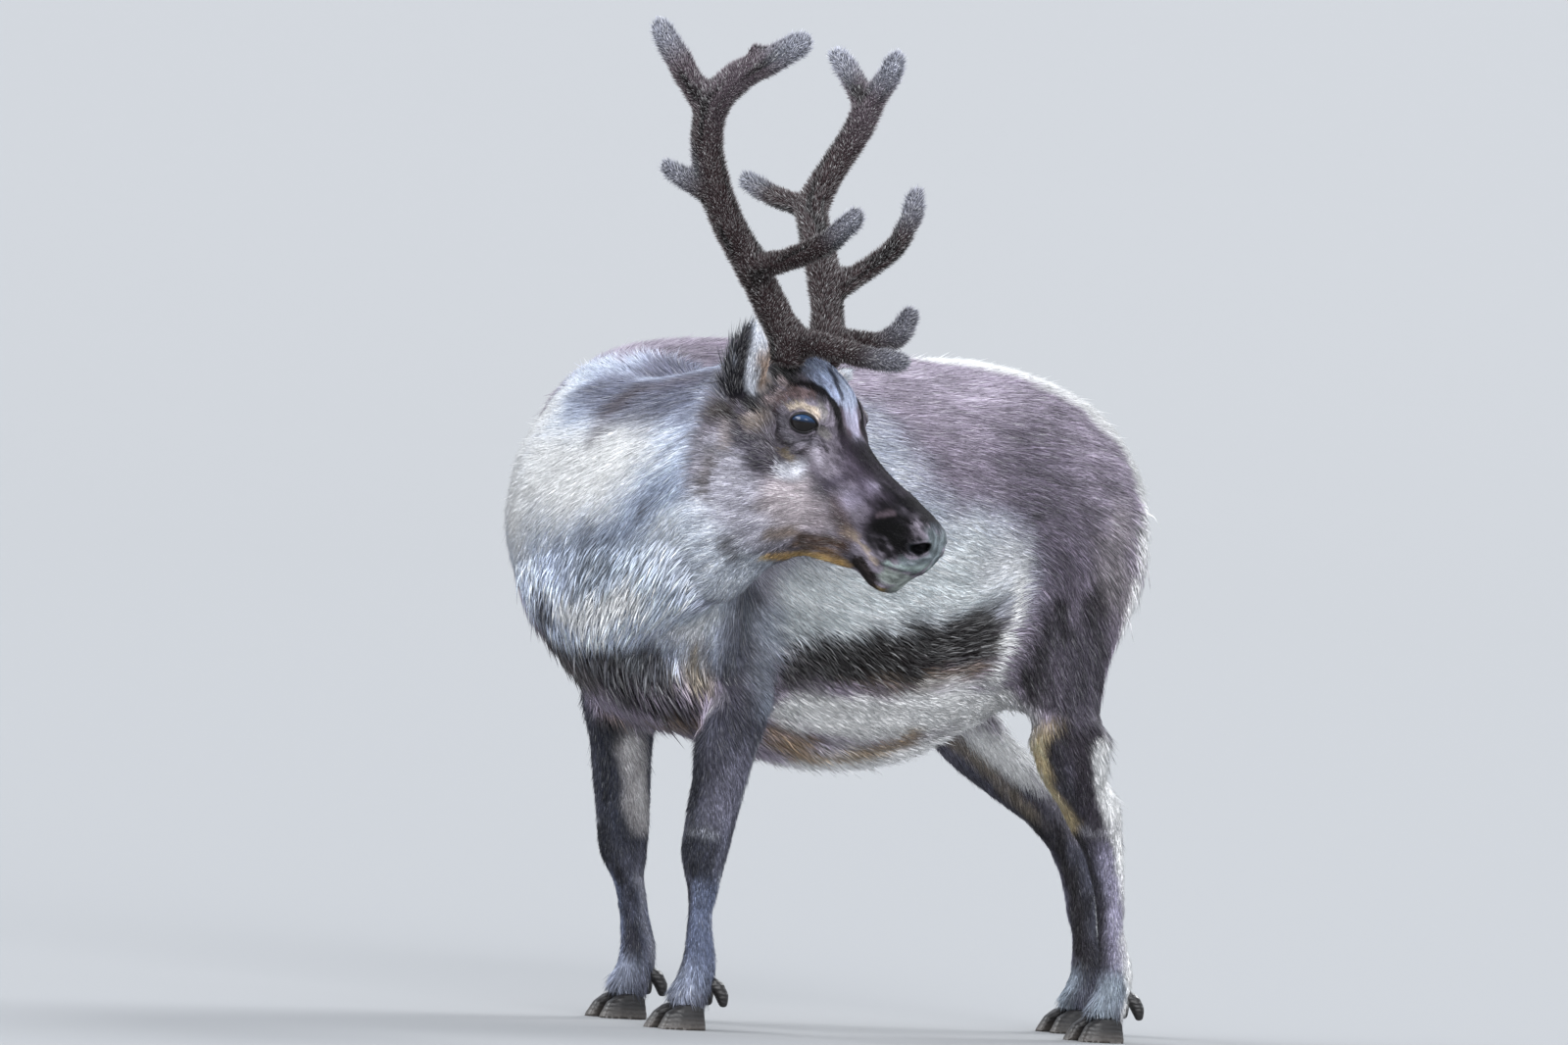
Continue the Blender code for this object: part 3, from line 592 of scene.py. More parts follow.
def value_noise(points, size, seed):
    """Smooth chance values from -1 to 1, with one swing to about each size."""
    table = np.random.default_rng(seed).uniform(-1, 1, (48, 48, 48))
    place = points / size + 24
    cell = np.floor(place).astype(int)
    part = place - cell
    part = part * part * (3 - 2 * part)
    value = np.zeros(len(points))
    for corner in np.ndindex(2, 2, 2):
        weight = np.prod(np.where(corner, part, 1 - part), axis=1)
        i, j, k = ((cell + corner) % 48).T
        value += weight * table[i, j, k]
    return value


streaks = combed(0.0030, 14, 51)
locks = combed(0.0085, 22, 52)

# Markings
# Summer coat of grey-mauve with a white croup, a dark band low on the flank over a cream belly, a
# white neck and mane, a dark chest, charcoal legs and a dark bridge and muzzle. Hide and tufts
# take the same colours.

TONE_LIFT = 1.45  # reflectance for a screen tone, against plain sRGB
TONE_CURVE = 1.30


def tone(red, green, blue):
    """The reflectance that shows as this screen tone in the studio's light."""
    value = np.array((red, green, blue)) / 255
    linear = np.where(value < 0.04045, value / 12.92, ((value + 0.055) / 1.055) ** 2.4)
    darker = (linear @ (0.21, 0.72, 0.07)) ** (TONE_CURVE - 1)
    return np.clip(TONE_LIFT * linear * darker, 0, 0.95)


WHITE = tone(226, 228, 234)
SNOW = tone(248, 250, 253)
PALE = tone(190, 200, 221)
MAUVE = tone(143, 133, 149)
DEEP_MAUVE = tone(104, 95, 112)
UMBER = tone(44, 38, 37)
SOOT = tone(26, 24, 30)
TAN = tone(146, 122, 88)
CHALK = tone(238, 241, 236)
SLATE = tone(84, 85, 98)
SMOKE = tone(112, 106, 116)
RUST = tone(124, 106, 88)

side_of_neck = np.column_stack((-neck_ahead[:, 1], neck_ahead[:, 0], np.zeros(len(body))))
side_of_neck = unit(side_of_neck)
inner = np.sum((body - neck_middle) * side_of_neck, axis=1)
neck_side = body - 2 * np.maximum(inner, 0)[:, None] * side_of_neck * share_of["neck"][:, None]
head_mirrored = np.column_stack((head[:, 0], head_lat, head[:, 2]))
ragged = np.column_stack([value_noise(hide, 0.022, seed) for seed in (1, 2, 3)])
fine_ragged = np.column_stack([value_noise(hide, 0.008, seed) for seed in (4, 5, 6)])
SPACES = {
    # places, where they hold, and how far an edge wavers
    "flank": (mirrored, 1 - head_share - ear_share, 0.009),
    "front": (body, 1 - head_share - ear_share, 0.009),
    "neck": (neck_side, 1 - head_share - ear_share, 0.007),
    "head": (head_mirrored, head_share + ear_share + share_of["neck"], 0.0022),
}
colour = (
    share_of["trunk"][:, None] * MAUVE + share_of["neck"][:, None] * PALE
    + head_share[:, None] * SMOKE + share_of["tail"][:, None] * WHITE
    + ear_share[:, None] * tone(42, 40, 49) + leg_share[:, None] * SLATE
)


def mark(space, shade, strength, reach, soft, *line):
    """Lays a shade along a line, feathered along the hair, on the regions that the space covers."""
    places, where, waver = SPACES[space]
    shaken = places + waver * (ragged + 0.4 * fine_ragged)
    away = near_line(shaken, line if len(line) > 1 else line * 2)[0]
    away = away + 0.45 * waver * streaks + 0.35 * waver * locks
    weight = strength * (1 - rise(away, max(reach - soft, 0), reach + soft)) * where
    colour[:] += weight[:, None] * (shade - colour)


# Trunk
mark("flank", tone(164, 154, 170), 0.85, 0.055, 0.05,
     (0.10, -0.20, 0.80), (0.09, 0.0, 0.80), (0.11, 0.12, 0.785))
mark("flank", tone(200, 208, 226), 0.85, 0.060, 0.05,
     (0.16, -0.10, 0.70), (0.17, -0.05, 0.62), (0.19, 0.02, 0.57), (0.19, 0.10, 0.57))
mark("flank", tone(210, 219, 236), 0.9, 0.060, 0.05,
     (0.17, -0.17, 0.52), (0.18, -0.06, 0.53), (0.19, 0.06, 0.56))
mark("flank", tone(168, 164, 180), 0.85, 0.085, 0.07,
     (0.13, -0.22, 0.72), (0.15, -0.27, 0.64), (0.15, -0.30, 0.56))
mark("flank", DEEP_MAUVE, 0.75, 0.055, 0.05,
     (0.17, 0.17, 0.70), (0.19, 0.185, 0.63), (0.185, 0.22, 0.57))
mark("flank", UMBER, 0.95, 0.032, 0.020,
     (0.145, -0.165, 0.440), (0.165, -0.10, 0.455), (0.18, -0.04, 0.455))
mark("flank", UMBER, 0.95, 0.042, 0.022,
     (0.175, -0.06, 0.455), (0.185, 0.02, 0.466), (0.185, 0.10, 0.488))
mark("flank", tone(32, 27, 28), 0.8, 0.028, 0.016,
     (0.165, -0.10, 0.455), (0.18, 0.02, 0.462), (0.185, 0.09, 0.480))
mark("flank", RUST, 0.75, 0.013, 0.012,
     (0.165, -0.10, 0.412), (0.17, -0.05, 0.412), (0.17, 0.00, 0.416), (0.175, 0.06, 0.428),
     (0.175, 0.12, 0.444))
mark("flank", CHALK, 0.97, 0.034, 0.014,
     (0.135, -0.14, 0.376), (0.14, -0.03, 0.378), (0.15, 0.06, 0.392), (0.12, 0.16, 0.402))
mark("flank", CHALK, 0.9, 0.075, 0.03, (0.03, 0.0, 0.32), (0.04, 0.14, 0.37), (0.05, 0.22, 0.40))
mark("flank", TAN, 0.85, 0.020, 0.016,
     (0.085, -0.135, 0.350), (0.055, -0.06, 0.322), (0.09, 0.0, 0.332), (0.12, 0.05, 0.355))
mark("flank", SNOW, 0.9, 0.010, 0.008,
     (0.192, 0.140, 0.580), (0.190, 0.145, 0.53), (0.178, 0.142, 0.48), (0.163, 0.140, 0.440))
mark("flank", tone(206, 208, 214), 0.8, 0.032, 0.02, (0.192, 0.125, 0.585), (0.19, 0.10, 0.57))
mark("flank", tone(42, 37, 40), 0.9, 0.020, 0.012,
     (0.176, 0.222, 0.535), (0.170, 0.212, 0.495), (0.160, 0.205, 0.455), (0.15, 0.21, 0.42))
mark("flank", tone(60, 50, 50), 0.8, 0.013, 0.010,
     (0.172, 0.315, 0.575), (0.172, 0.300, 0.545), (0.175, 0.28, 0.53))
mark("flank", tone(86, 81, 94), 0.88, 0.048, 0.030,
     (0.175, 0.26, 0.49), (0.17, 0.28, 0.44), (0.15, 0.30, 0.38))
mark("flank", tone(42, 37, 40), 0.85, 0.013, 0.008,
     (0.170, 0.226, 0.54), (0.166, 0.240, 0.50), (0.172, 0.268, 0.545), (0.172, 0.29, 0.57))
mark("flank", tone(158, 150, 156), 0.75, 0.030, 0.02,
     (0.160, 0.320, 0.63), (0.170, 0.30, 0.60), (0.165, 0.345, 0.55))
mark("flank", WHITE, 0.85, 0.020, 0.014,
     (0.13, 0.375, 0.60), (0.15, 0.36, 0.53), (0.144, 0.365, 0.48), (0.14, 0.36, 0.42))
mark("flank", SNOW, 0.97, 0.032, 0.014,
     (0.0, 0.12, 0.828), (0.045, 0.21, 0.815), (0.065, 0.29, 0.795), (0.085, 0.345, 0.75),
     (0.102, 0.375, 0.70), (0.112, 0.40, 0.64))
mark("flank", SNOW, 0.97, 0.064, 0.025,
     (0.0, 0.42, 0.70), (0.03, 0.44, 0.62), (0.06, 0.42, 0.54), (0.08, 0.38, 0.46))
mark("flank", SNOW, 0.95, 0.062, 0.03,
     (0.0, 0.23, 0.82), (0.0, 0.31, 0.81), (0.0, 0.38, 0.77), (0.0, 0.43, 0.68))
mark("flank", tone(146, 134, 150), 0.8, 0.045, 0.03,
     (0.0, -0.24, 0.83), (0.0, -0.10, 0.83), (0.0, 0.06, 0.825))
mark("flank", SOOT, 0.8, 0.0030, 0.0020, (0.190, 0.160, 0.636), (0.190, 0.176, 0.634))

# Neck, mane and chest
mark("front", tone(150, 141, 155), 0.85, 0.060, 0.03,
     (-0.06, -0.26, 0.81), (0.01, -0.317, 0.813), (0.05, -0.33, 0.80))
mark("neck", PALE, 0.75, 0.020, 0.014,
     (-0.045, -0.364, 0.779), (0.05, -0.375, 0.787), (0.13, -0.38, 0.785))
mark("neck", tone(236, 243, 254), 0.92, 0.052, 0.035,
     (0.06, -0.48, 0.66), (0.107, -0.489, 0.651), (0.152, -0.479, 0.669), (0.177, -0.463, 0.70))
mark("neck", tone(104, 106, 126), 0.93, 0.056, 0.036,
     (0.262, -0.350, 0.775), (0.20, -0.405, 0.757), (0.15, -0.43, 0.755), (0.09, -0.42, 0.780))
mark("neck", tone(104, 98, 112), 0.70, 0.012, 0.014,
     (0.250, -0.355, 0.795), (0.182, -0.410, 0.777), (0.157, -0.428, 0.761), (0.147, -0.450, 0.738))
mark("neck", tone(92, 84, 92), 0.65, 0.009, 0.012,
     (0.157, -0.428, 0.761), (0.147, -0.450, 0.738), (0.144, -0.469, 0.717), (0.144, -0.477, 0.701))
mark("neck", tone(112, 124, 146), 0.7, 0.044, 0.035,
     (0.24, -0.44, 0.645), (0.22, -0.45, 0.60), (0.17, -0.46, 0.56))
mark("neck", tone(112, 119, 124), 0.7, 0.032, 0.03, (0.164, -0.466, 0.552), (0.13, -0.475, 0.54))
mark("neck", tone(190, 200, 214), 0.8, 0.034, 0.02,
     (0.213, -0.441, 0.556), (0.20, -0.42, 0.52), (0.208, -0.395, 0.504), (0.16, -0.44, 0.51))
mark("neck", WHITE, 0.85, 0.024, 0.016,
     (0.08, -0.45, 0.49), (0.13, -0.445, 0.50), (0.178, -0.433, 0.516))
mark("front", tone(58, 48, 46), 0.9, 0.016, 0.012,
     (0.041, -0.475, 0.522), (0.020, -0.460, 0.497), (-0.02, -0.43, 0.478))
mark("front", tone(234, 242, 254), 0.9, 0.050, 0.04,
     (-0.02, -0.44, 0.71), (-0.03, -0.45, 0.65), (0.0, -0.475, 0.61))
for spot in (
    (0.154, -0.483, 0.606), (0.154, -0.480, 0.592), (0.155, -0.476, 0.578), (0.162, -0.470, 0.563),
    (0.099, -0.490, 0.576), (0.092, -0.486, 0.558), (0.091, -0.483, 0.543), (0.222, -0.450, 0.665),
    (0.214, -0.452, 0.615), (0.135, -0.484, 0.545),
):
    mark("neck", tone(66, 64, 70), 0.75, 0.0045, 0.004, spot, np.array(spot) + (0.008, 0.0, 0.010))
mark("neck", tone(104, 92, 84), 0.7, 0.012, 0.010,
     (0.256, -0.413, 0.714), (0.268, -0.415, 0.67), (0.275, -0.408, 0.625))
mark("front", tone(76, 70, 68), 0.92, 0.042, 0.016,
     (-0.10, -0.36, 0.44), (0.0, -0.39, 0.430), (0.05, -0.385, 0.432), (0.09, -0.34, 0.43))
mark("front", SOOT, 0.85, 0.020, 0.014,
     (0.028, -0.362, 0.413), (0.037, -0.336, 0.394), (0.061, -0.296, 0.378), (0.085, -0.280, 0.389))
mark("front", tone(128, 132, 138), 0.7, 0.012, 0.012, (0.085, -0.362, 0.446), (0.09, -0.335, 0.415))
mark("front", tone(58, 50, 46), 0.7, 0.010, 0.008,
     (0.060, -0.392, 0.445), (0.070, -0.372, 0.425), (0.075, -0.350, 0.405))
mark("front", tone(166, 154, 134), 0.85, 0.020, 0.014, (0.134, -0.296, 0.452), (0.118, -0.288, 0.418))
mark("flank", TAN, 0.6, 0.018, 0.014,
     (0.0, -0.265, 0.352), (0.04, -0.258, 0.356), (0.09, -0.25, 0.365))

# Shoulder
mark("flank", tone(60, 61, 74), 0.88, 0.024, 0.018,
     (0.177, -0.250, 0.530), (0.172, -0.253, 0.47), (0.164, -0.258, 0.426))
mark("flank", tone(146, 154, 168), 0.75, 0.020, 0.018,
     (0.178, -0.222, 0.50), (0.176, -0.212, 0.455), (0.169, -0.212, 0.41))

# Legs, each from its own middle line: outwards, backwards, height
leg_out = np.zeros(len(body))
leg_back = np.zeros(len(body))
for name in LEGS:
    own = share_of[name] > 0.5
    turn = 1 if name.endswith("left") else -1
    levels = np.arange(0.02, 0.46, 0.01)
    levels = levels[[np.any(own & (np.abs(height - z) < 0.012)) for z in levels]]
    middle = np.array([body[own & (np.abs(height - z) < 0.012), :2].mean(axis=0) for z in levels])
    here = share_of[name] > 0.02
    leg_out[here] = turn * (body[here, 0] - np.interp(height[here], levels, middle[:, 0]))
    leg_back[here] = body[here, 1] - np.interp(height[here], levels, middle[:, 1])
leg_places = np.column_stack((leg_out, leg_back, height))
front_leg = share_of["leg_front_left"] + share_of["leg_front_right"]
hind_leg = share_of["leg_hind_left"] + share_of["leg_hind_right"]
SPACES["front leg"] = (leg_places, front_leg, 0.004)
SPACES["right front leg"] = (leg_places, share_of["leg_front_right"], 0.004)
SPACES["left hind leg"] = (leg_places, share_of["leg_hind_left"], 0.004)
SPACES["right hind leg"] = (leg_places, share_of["leg_hind_right"], 0.004)
SPACES["hind leg"] = (leg_places, hind_leg, 0.004)
mark("front leg", tone(62, 61, 72), 0.85, 0.030, 0.02, (0.01, -0.02, 0.40), (0.005, -0.02, 0.30))
# The far right front leg is painted darker above than the near one: painted shade under the chest.
mark("right front leg", tone(36, 40, 52), 0.85, 0.034, 0.02,
     (-0.01, -0.02, 0.42), (-0.01, -0.01, 0.24))
mark("front leg", tone(108, 107, 122), 0.8, 0.020, 0.014, (0.024, 0.0, 0.33), (0.022, -0.006, 0.265))
mark("front leg", tone(160, 157, 158), 0.85, 0.016, 0.010,
     (-0.026, -0.034, 0.41), (-0.032, -0.012, 0.36), (-0.028, 0.0, 0.30), (-0.024, 0.004, 0.245))
mark("front leg", tone(40, 42, 52), 0.8, 0.012, 0.010, (-0.010, -0.036, 0.36), (-0.006, -0.034, 0.27))
mark("front leg", tone(170, 172, 178), 0.85, 0.013, 0.008,
     (0.026, 0.040, 0.42), (0.020, 0.038, 0.36), (0.016, 0.030, 0.29))
mark("front leg", tone(40, 42, 52), 0.90, 0.022, 0.010, (0.004, -0.028, 0.226), (0.004, -0.022, 0.205))
mark("front leg", tone(150, 152, 160), 0.65, 0.0035, 0.003,
     (-0.018, -0.030, 0.240), (0.004, -0.036, 0.243), (0.024, -0.012, 0.240))
mark("front leg", tone(92, 100, 122), 0.85, 0.022, 0.012, (0.008, 0.0, 0.165), (0.006, 0.0, 0.07))
mark("front leg", tone(44, 42, 50), 0.85, 0.012, 0.008, (-0.014, -0.018, 0.17), (-0.014, -0.018, 0.08))
mark("front leg", tone(130, 130, 138), 0.7, 0.009, 0.007, (-0.020, 0.010, 0.17), (-0.020, 0.010, 0.08))
mark("front leg", tone(160, 164, 176), 0.8, 0.008, 0.006, (0.012, 0.018, 0.19), (0.010, 0.018, 0.09))
mark("front leg", tone(112, 118, 132), 0.6, 0.022, 0.016, (0.0, -0.01, 0.06), (0.0, -0.02, 0.04))
mark("hind leg", tone(60, 54, 62), 0.92, 0.044, 0.02,
     (0.014, 0.0, 0.42), (0.012, 0.0, 0.32), (0.010, 0.0, 0.27))
mark("hind leg", tone(34, 29, 31), 0.8, 0.010, 0.009,
     (0.010, -0.044, 0.39), (0.010, -0.038, 0.33), (0.008, -0.030, 0.28))
mark("hind leg", CHALK, 0.97, 0.038, 0.014,
     (-0.050, 0.02, 0.44), (-0.040, 0.012, 0.37), (-0.034, 0.016, 0.34))
mark("left hind leg", tone(176, 158, 124), 0.90, 0.018, 0.010,
     (-0.016, -0.054, 0.43), (-0.012, -0.045, 0.37), (-0.009, -0.035, 0.32), (-0.008, -0.028, 0.28))
# The far right hind leg's inner side takes a duller tan than the near leg's: painted shade under the body.
mark("right hind leg", tone(128, 118, 104), 0.7, 0.012, 0.010,
     (-0.024, -0.040, 0.38), (-0.018, -0.030, 0.32), (-0.016, -0.022, 0.27))
mark("hind leg", tone(126, 122, 130), 0.7, 0.014, 0.012, (-0.028, 0.02, 0.32), (-0.024, 0.014, 0.25))
mark("hind leg", SNOW, 0.97, 0.020, 0.009,
     (0.044, 0.038, 0.42), (0.037, 0.030, 0.36), (0.030, 0.025, 0.31), (0.025, 0.022, 0.27))
mark("hind leg", SNOW, 0.97, 0.018, 0.009,
     (0.022, 0.048, 0.40), (0.016, 0.042, 0.34), (0.010, 0.034, 0.28))
mark("hind leg", SNOW, 0.97, 0.0125, 0.006,
     (0.020, 0.020, 0.25), (0.015, 0.014, 0.20), (0.014, 0.013, 0.10), (0.012, 0.018, 0.05))
mark("hind leg", tone(140, 136, 156), 0.8, 0.014, 0.010, (0.012, -0.004, 0.24), (0.010, -0.006, 0.10))
mark("hind leg", tone(44, 40, 46), 0.8, 0.012, 0.008,
     (-0.004, -0.026, 0.25), (-0.004, -0.018, 0.18), (-0.004, -0.018, 0.10))
# A dark stripe down the far right hind leg's inner side: painted shade.
mark("right hind leg", tone(46, 42, 43), 0.75, 0.013, 0.009, (-0.010, -0.008, 0.26), (-0.010, -0.008, 0.09))
mark("hind leg", tone(150, 148, 156), 0.7, 0.005, 0.005,
     (0.012, -0.028, 0.262), (0.020, 0.0, 0.262), (0.016, 0.02, 0.27))
mark("hind leg", tone(128, 138, 148), 0.7, 0.018, 0.012, (0.012, -0.008, 0.07), (0.01, -0.016, 0.04))
hair += 0.016 * hind_leg * rise(leg_back, 0.012, 0.034) * rise(height, 0.28, 0.34)

# Throat and cheeks, in the head's own frame: forward of the nose tip, to the side, up
mark("head", tone(190, 197, 210), 0.95, 0.044, 0.010,
     (-0.150, 0.0, -0.185), (-0.172, 0.050, -0.172), (-0.205, 0.085, -0.165), (-0.250, 0.11, -0.150))
mark("head", tone(184, 188, 200), 0.8, 0.022, 0.014,
     (-0.240, 0.115, -0.100), (-0.222, 0.108, -0.115), (-0.200, 0.090, -0.122))
mark("head", tone(170, 168, 180), 0.9, 0.032, 0.018,
     (-0.250, 0.110, -0.050), (-0.234, 0.109, -0.070), (-0.210, 0.098, -0.085), (-0.180, 0.076, -0.099))
mark("head", tone(186, 176, 181), 0.90, 0.024, 0.015,
     (-0.180, 0.072, -0.058), (-0.160, 0.058, -0.066), (-0.170, 0.060, -0.044))
mark("head", tone(150, 140, 146), 0.8, 0.014, 0.010, (-0.145, 0.048, -0.050), (-0.130, 0.044, -0.058))
mark("head", tone(98, 84, 86), 0.85, 0.010, 0.008, (-0.126, 0.046, -0.030), (-0.100, 0.040, -0.052))
mark("head", tone(146, 139, 158), 0.80, 0.010, 0.010,
     (-0.118, 0.043, -0.016), (-0.108, 0.037, 0.0), (-0.106, 0.030, 0.010))
mark("head", tone(70, 64, 78), 0.85, 0.010, 0.008, (-0.148, 0.050, -0.017), (-0.138, 0.042, 0.000))
mark("head", tone(86, 80, 94), 0.6, 0.008, 0.007, (-0.165, 0.055, -0.014), (-0.158, 0.054, -0.030))
mark("head", tone(70, 62, 60), 0.7, 0.011, 0.009, (-0.186, 0.080, -0.145), (-0.205, 0.098, -0.132))
mark("head", tone(92, 80, 74), 0.75, 0.007, 0.006,
     (-0.262, 0.118, -0.055), (-0.255, 0.118, -0.080), (-0.246, 0.118, -0.100))
mark("head", tone(62, 56, 70), 0.92, 0.013, 0.009,
     (-0.268, 0.090, 0.000), (-0.252, 0.100, -0.024), (-0.236, 0.096, -0.027), (-0.222, 0.092, -0.036))
mark("head", tone(140, 128, 120), 0.85, 0.010, 0.008, (-0.252, 0.080, 0.012), (-0.255, 0.088, 0.000))
mark("head", tone(52, 42, 36), 0.92, 0.012, 0.008, (-0.286, 0.094, -0.004), (-0.298, 0.103, -0.016))
mark("head", tone(150, 140, 140), 0.8, 0.007, 0.005, (-0.276, 0.099, -0.020), (-0.262, 0.104, -0.036))

# Brow and forehead
mark("head", tone(22, 20, 26), 0.97, 0.012, 0.006,
     (-0.268, 0.044, 0.066), (-0.281, 0.056, 0.042), (-0.276, 0.069, 0.026), (-0.270, 0.078, 0.010))
mark("head", tone(20, 18, 22), 0.95, 0.020, 0.010, (-0.292, 0.040, 0.082), (-0.280, 0.050, 0.066))
mark("head", tone(164, 177, 206), 0.90, 0.018, 0.009,
     (-0.262, 0.012, 0.088), (-0.250, 0.020, 0.083), (-0.232, 0.020, 0.080), (-0.218, 0.020, 0.075))
mark("head", tone(58, 62, 78), 0.8, 0.006, 0.005, (-0.270, 0.016, 0.090), (-0.252, 0.010, 0.088))
mark("head", tone(66, 68, 86), 0.65, 0.0034, 0.003, (-0.266, 0.030, 0.084), (-0.232, 0.028, 0.076))
mark("head", tone(174, 183, 205), 0.95, 0.0115, 0.006,
     (-0.228, 0.003, 0.082), (-0.210, 0.005, 0.074), (-0.202, 0.009, 0.065), (-0.192, 0.006, 0.055))
mark("head", tone(156, 152, 172), 0.9, 0.0105, 0.006,
     (-0.190, 0.008, 0.054), (-0.176, 0.004, 0.043), (-0.163, 0.002, 0.037))
mark("head", tone(54, 56, 76), 0.85, 0.0036, 0.0024, (-0.242, 0.008, 0.086), (-0.207, 0.016, 0.070))
mark("head", tone(148, 152, 174), 0.8, 0.0045, 0.003, (-0.222, 0.023, 0.077), (-0.206, 0.023, 0.068))
mark("head", tone(88, 68, 76), 0.85, 0.0055, 0.004, (-0.196, 0.021, 0.060), (-0.176, 0.016, 0.043))
mark("head", tone(26, 20, 23), 0.98, 0.0066, 0.0026,
     (-0.262, 0.052, 0.056), (-0.250, 0.046, 0.061), (-0.237, 0.043, 0.064), (-0.223, 0.038, 0.066),
     (-0.210, 0.034, 0.063), (-0.196, 0.031, 0.056), (-0.187, 0.027, 0.048))
mark("head", tone(30, 24, 29), 0.98, 0.0085, 0.004,
     (-0.187, 0.028, 0.048), (-0.175, 0.027, 0.037), (-0.160, 0.029, 0.029))
mark("head", tone(124, 104, 104), 0.9, 0.0080, 0.003,
     (-0.258, 0.062, 0.026), (-0.254, 0.057, 0.040), (-0.245, 0.053, 0.051), (-0.230, 0.051, 0.056))
mark("head", tone(178, 162, 164), 0.9, 0.0036, 0.0024,
     (-0.267, 0.052, 0.050), (-0.264, 0.057, 0.037), (-0.262, 0.064, 0.022))

# Round the eyes
mark("head", tone(136, 132, 132), 0.95, 0.0080, 0.003,
     (-0.206, 0.053, 0.053), (-0.200, 0.052, 0.052), (-0.191, 0.053, 0.044), (-0.182, 0.050, 0.034))
mark("head", tone(60, 54, 58), 0.6, 0.0016, 0.0016, (-0.205, 0.046, 0.058), (-0.190, 0.045, 0.048))
mark("head", tone(188, 174, 158), 0.92, 0.0058, 0.0034,
     (-0.236, 0.060, 0.034), (-0.228, 0.059, 0.043), (-0.214, 0.059, 0.047), (-0.204, 0.058, 0.044))
mark("head", tone(122, 118, 128), 0.90, 0.0085, 0.005,
     (-0.236, 0.064, 0.014), (-0.224, 0.063, 0.007), (-0.200, 0.058, 0.008), (-0.190, 0.054, 0.014))
mark("head", tone(60, 52, 58), 0.75, 0.0046, 0.0042,
     (-0.254, 0.063, 0.024), (-0.245, 0.065, 0.012), (-0.237, 0.067, 0.005), (-0.227, 0.067, -0.003),
     (-0.213, 0.064, -0.005), (-0.200, 0.060, -0.003), (-0.192, 0.055, 0.006))
mark("head", tone(146, 132, 112), 0.80, 0.0042, 0.0036, (-0.213, 0.065, -0.012), (-0.199, 0.062, -0.013))
mark("head", tone(206, 208, 218), 0.85, 0.0085, 0.0075,
     (-0.196, 0.071, -0.030), (-0.191, 0.065, -0.027), (-0.185, 0.058, -0.018))
mark("head", tone(170, 164, 176), 0.85, 0.0050, 0.004, (-0.184, 0.053, 0.008), (-0.170, 0.048, -0.004))

# Bridge and muzzle
mark("head", tone(64, 56, 68), 0.92, 0.018, 0.014,
     (-0.162, 0.026, 0.030), (-0.148, 0.026, 0.026), (-0.130, 0.024, 0.021))
mark("head", tone(38, 31, 43), 0.97, 0.015, 0.010,
     (-0.155, 0.004, 0.034), (-0.128, 0.004, 0.026), (-0.101, 0.006, 0.023), (-0.064, 0.006, 0.020))
mark("head", tone(112, 106, 124), 0.7, 0.006, 0.005, (-0.122, 0.034, 0.009), (-0.104, 0.031, 0.010))
mark("head", tone(26, 23, 30), 0.92, 0.012, 0.007, (-0.088, 0.024, 0.013), (-0.070, 0.026, 0.010))
mark("head", tone(80, 72, 86), 0.80, 0.013, 0.012,
     (-0.150, 0.032, 0.012), (-0.120, 0.032, 0.006), (-0.088, 0.034, -0.002))
mark("head", tone(84, 76, 92), 0.30, 0.014, 0.012,
     (-0.112, 0.040, -0.012), (-0.086, 0.037, -0.022), (-0.080, 0.038, -0.040))
mark("head", tone(58, 51, 62), 0.75, 0.009, 0.009,
     (-0.092, 0.034, 0.000), (-0.086, 0.036, -0.012), (-0.083, 0.038, -0.034))
mark("head", tone(34, 29, 36), 0.95, 0.022, 0.012, (-0.068, 0.036, -0.014), (-0.042, 0.033, -0.012))
mark("head", tone(20, 17, 22), 0.92, 0.0115, 0.011,
     (-0.071, 0.033, -0.002), (-0.052, 0.031, 0.002), (-0.036, 0.034, -0.014), (-0.030, 0.034, -0.030),
     (-0.040, 0.035, -0.040), (-0.060, 0.037, -0.037), (-0.072, 0.038, -0.030), (-0.072, 0.036, -0.014))
mark("head", tone(9, 8, 11), 0.98, 0.014, 0.006, (-0.062, 0.036, -0.014), (-0.042, 0.035, -0.018))
mark("head", tone(28, 24, 31), 0.95, 0.015, 0.005,
     (-0.056, 0.010, 0.019), (-0.044, 0.0, 0.018), (-0.032, 0.004, 0.015))
mark("head", tone(52, 48, 56), 0.6, 0.0038, 0.003, (-0.034, 0.022, 0.010), (-0.027, 0.020, 0.008))
mark("head", tone(92, 80, 88), 0.75, 0.0040, 0.0035, (-0.079, 0.036, -0.010), (-0.066, 0.034, 0.003))
# A grey-blue band round the front of the nose: a painted highlight.
mark("head", tone(108, 118, 122), 0.94, 0.0105, 0.0055,
     (-0.013, 0.012, 0.003), (-0.007, 0.005, -0.004), (-0.004, 0.004, -0.018), (-0.007, 0.016, -0.031),
     (-0.017, 0.027, -0.042))
mark("head", tone(78, 84, 92), 0.85, 0.0060, 0.004, (-0.022, 0.006, 0.010), (-0.020, 0.0, 0.010))
mark("head", tone(22, 32, 38), 0.92, 0.0075, 0.003, (-0.016, 0.030, -0.018), (-0.008, 0.026, -0.010))
mark("head", tone(140, 124, 112), 0.8, 0.0060, 0.005, (-0.100, 0.040, -0.050), (-0.088, 0.039, -0.050))
mark("head", tone(156, 142, 130), 0.75, 0.0034, 0.0032,
     (-0.090, 0.039, -0.050), (-0.075, 0.037, -0.053), (-0.062, 0.035, -0.057), (-0.052, 0.032, -0.060))
mark("head", tone(140, 154, 152), 0.9, 0.0046, 0.0028,
     (-0.036, 0.030, -0.052), (-0.020, 0.026, -0.046), (-0.006, 0.006, -0.034))

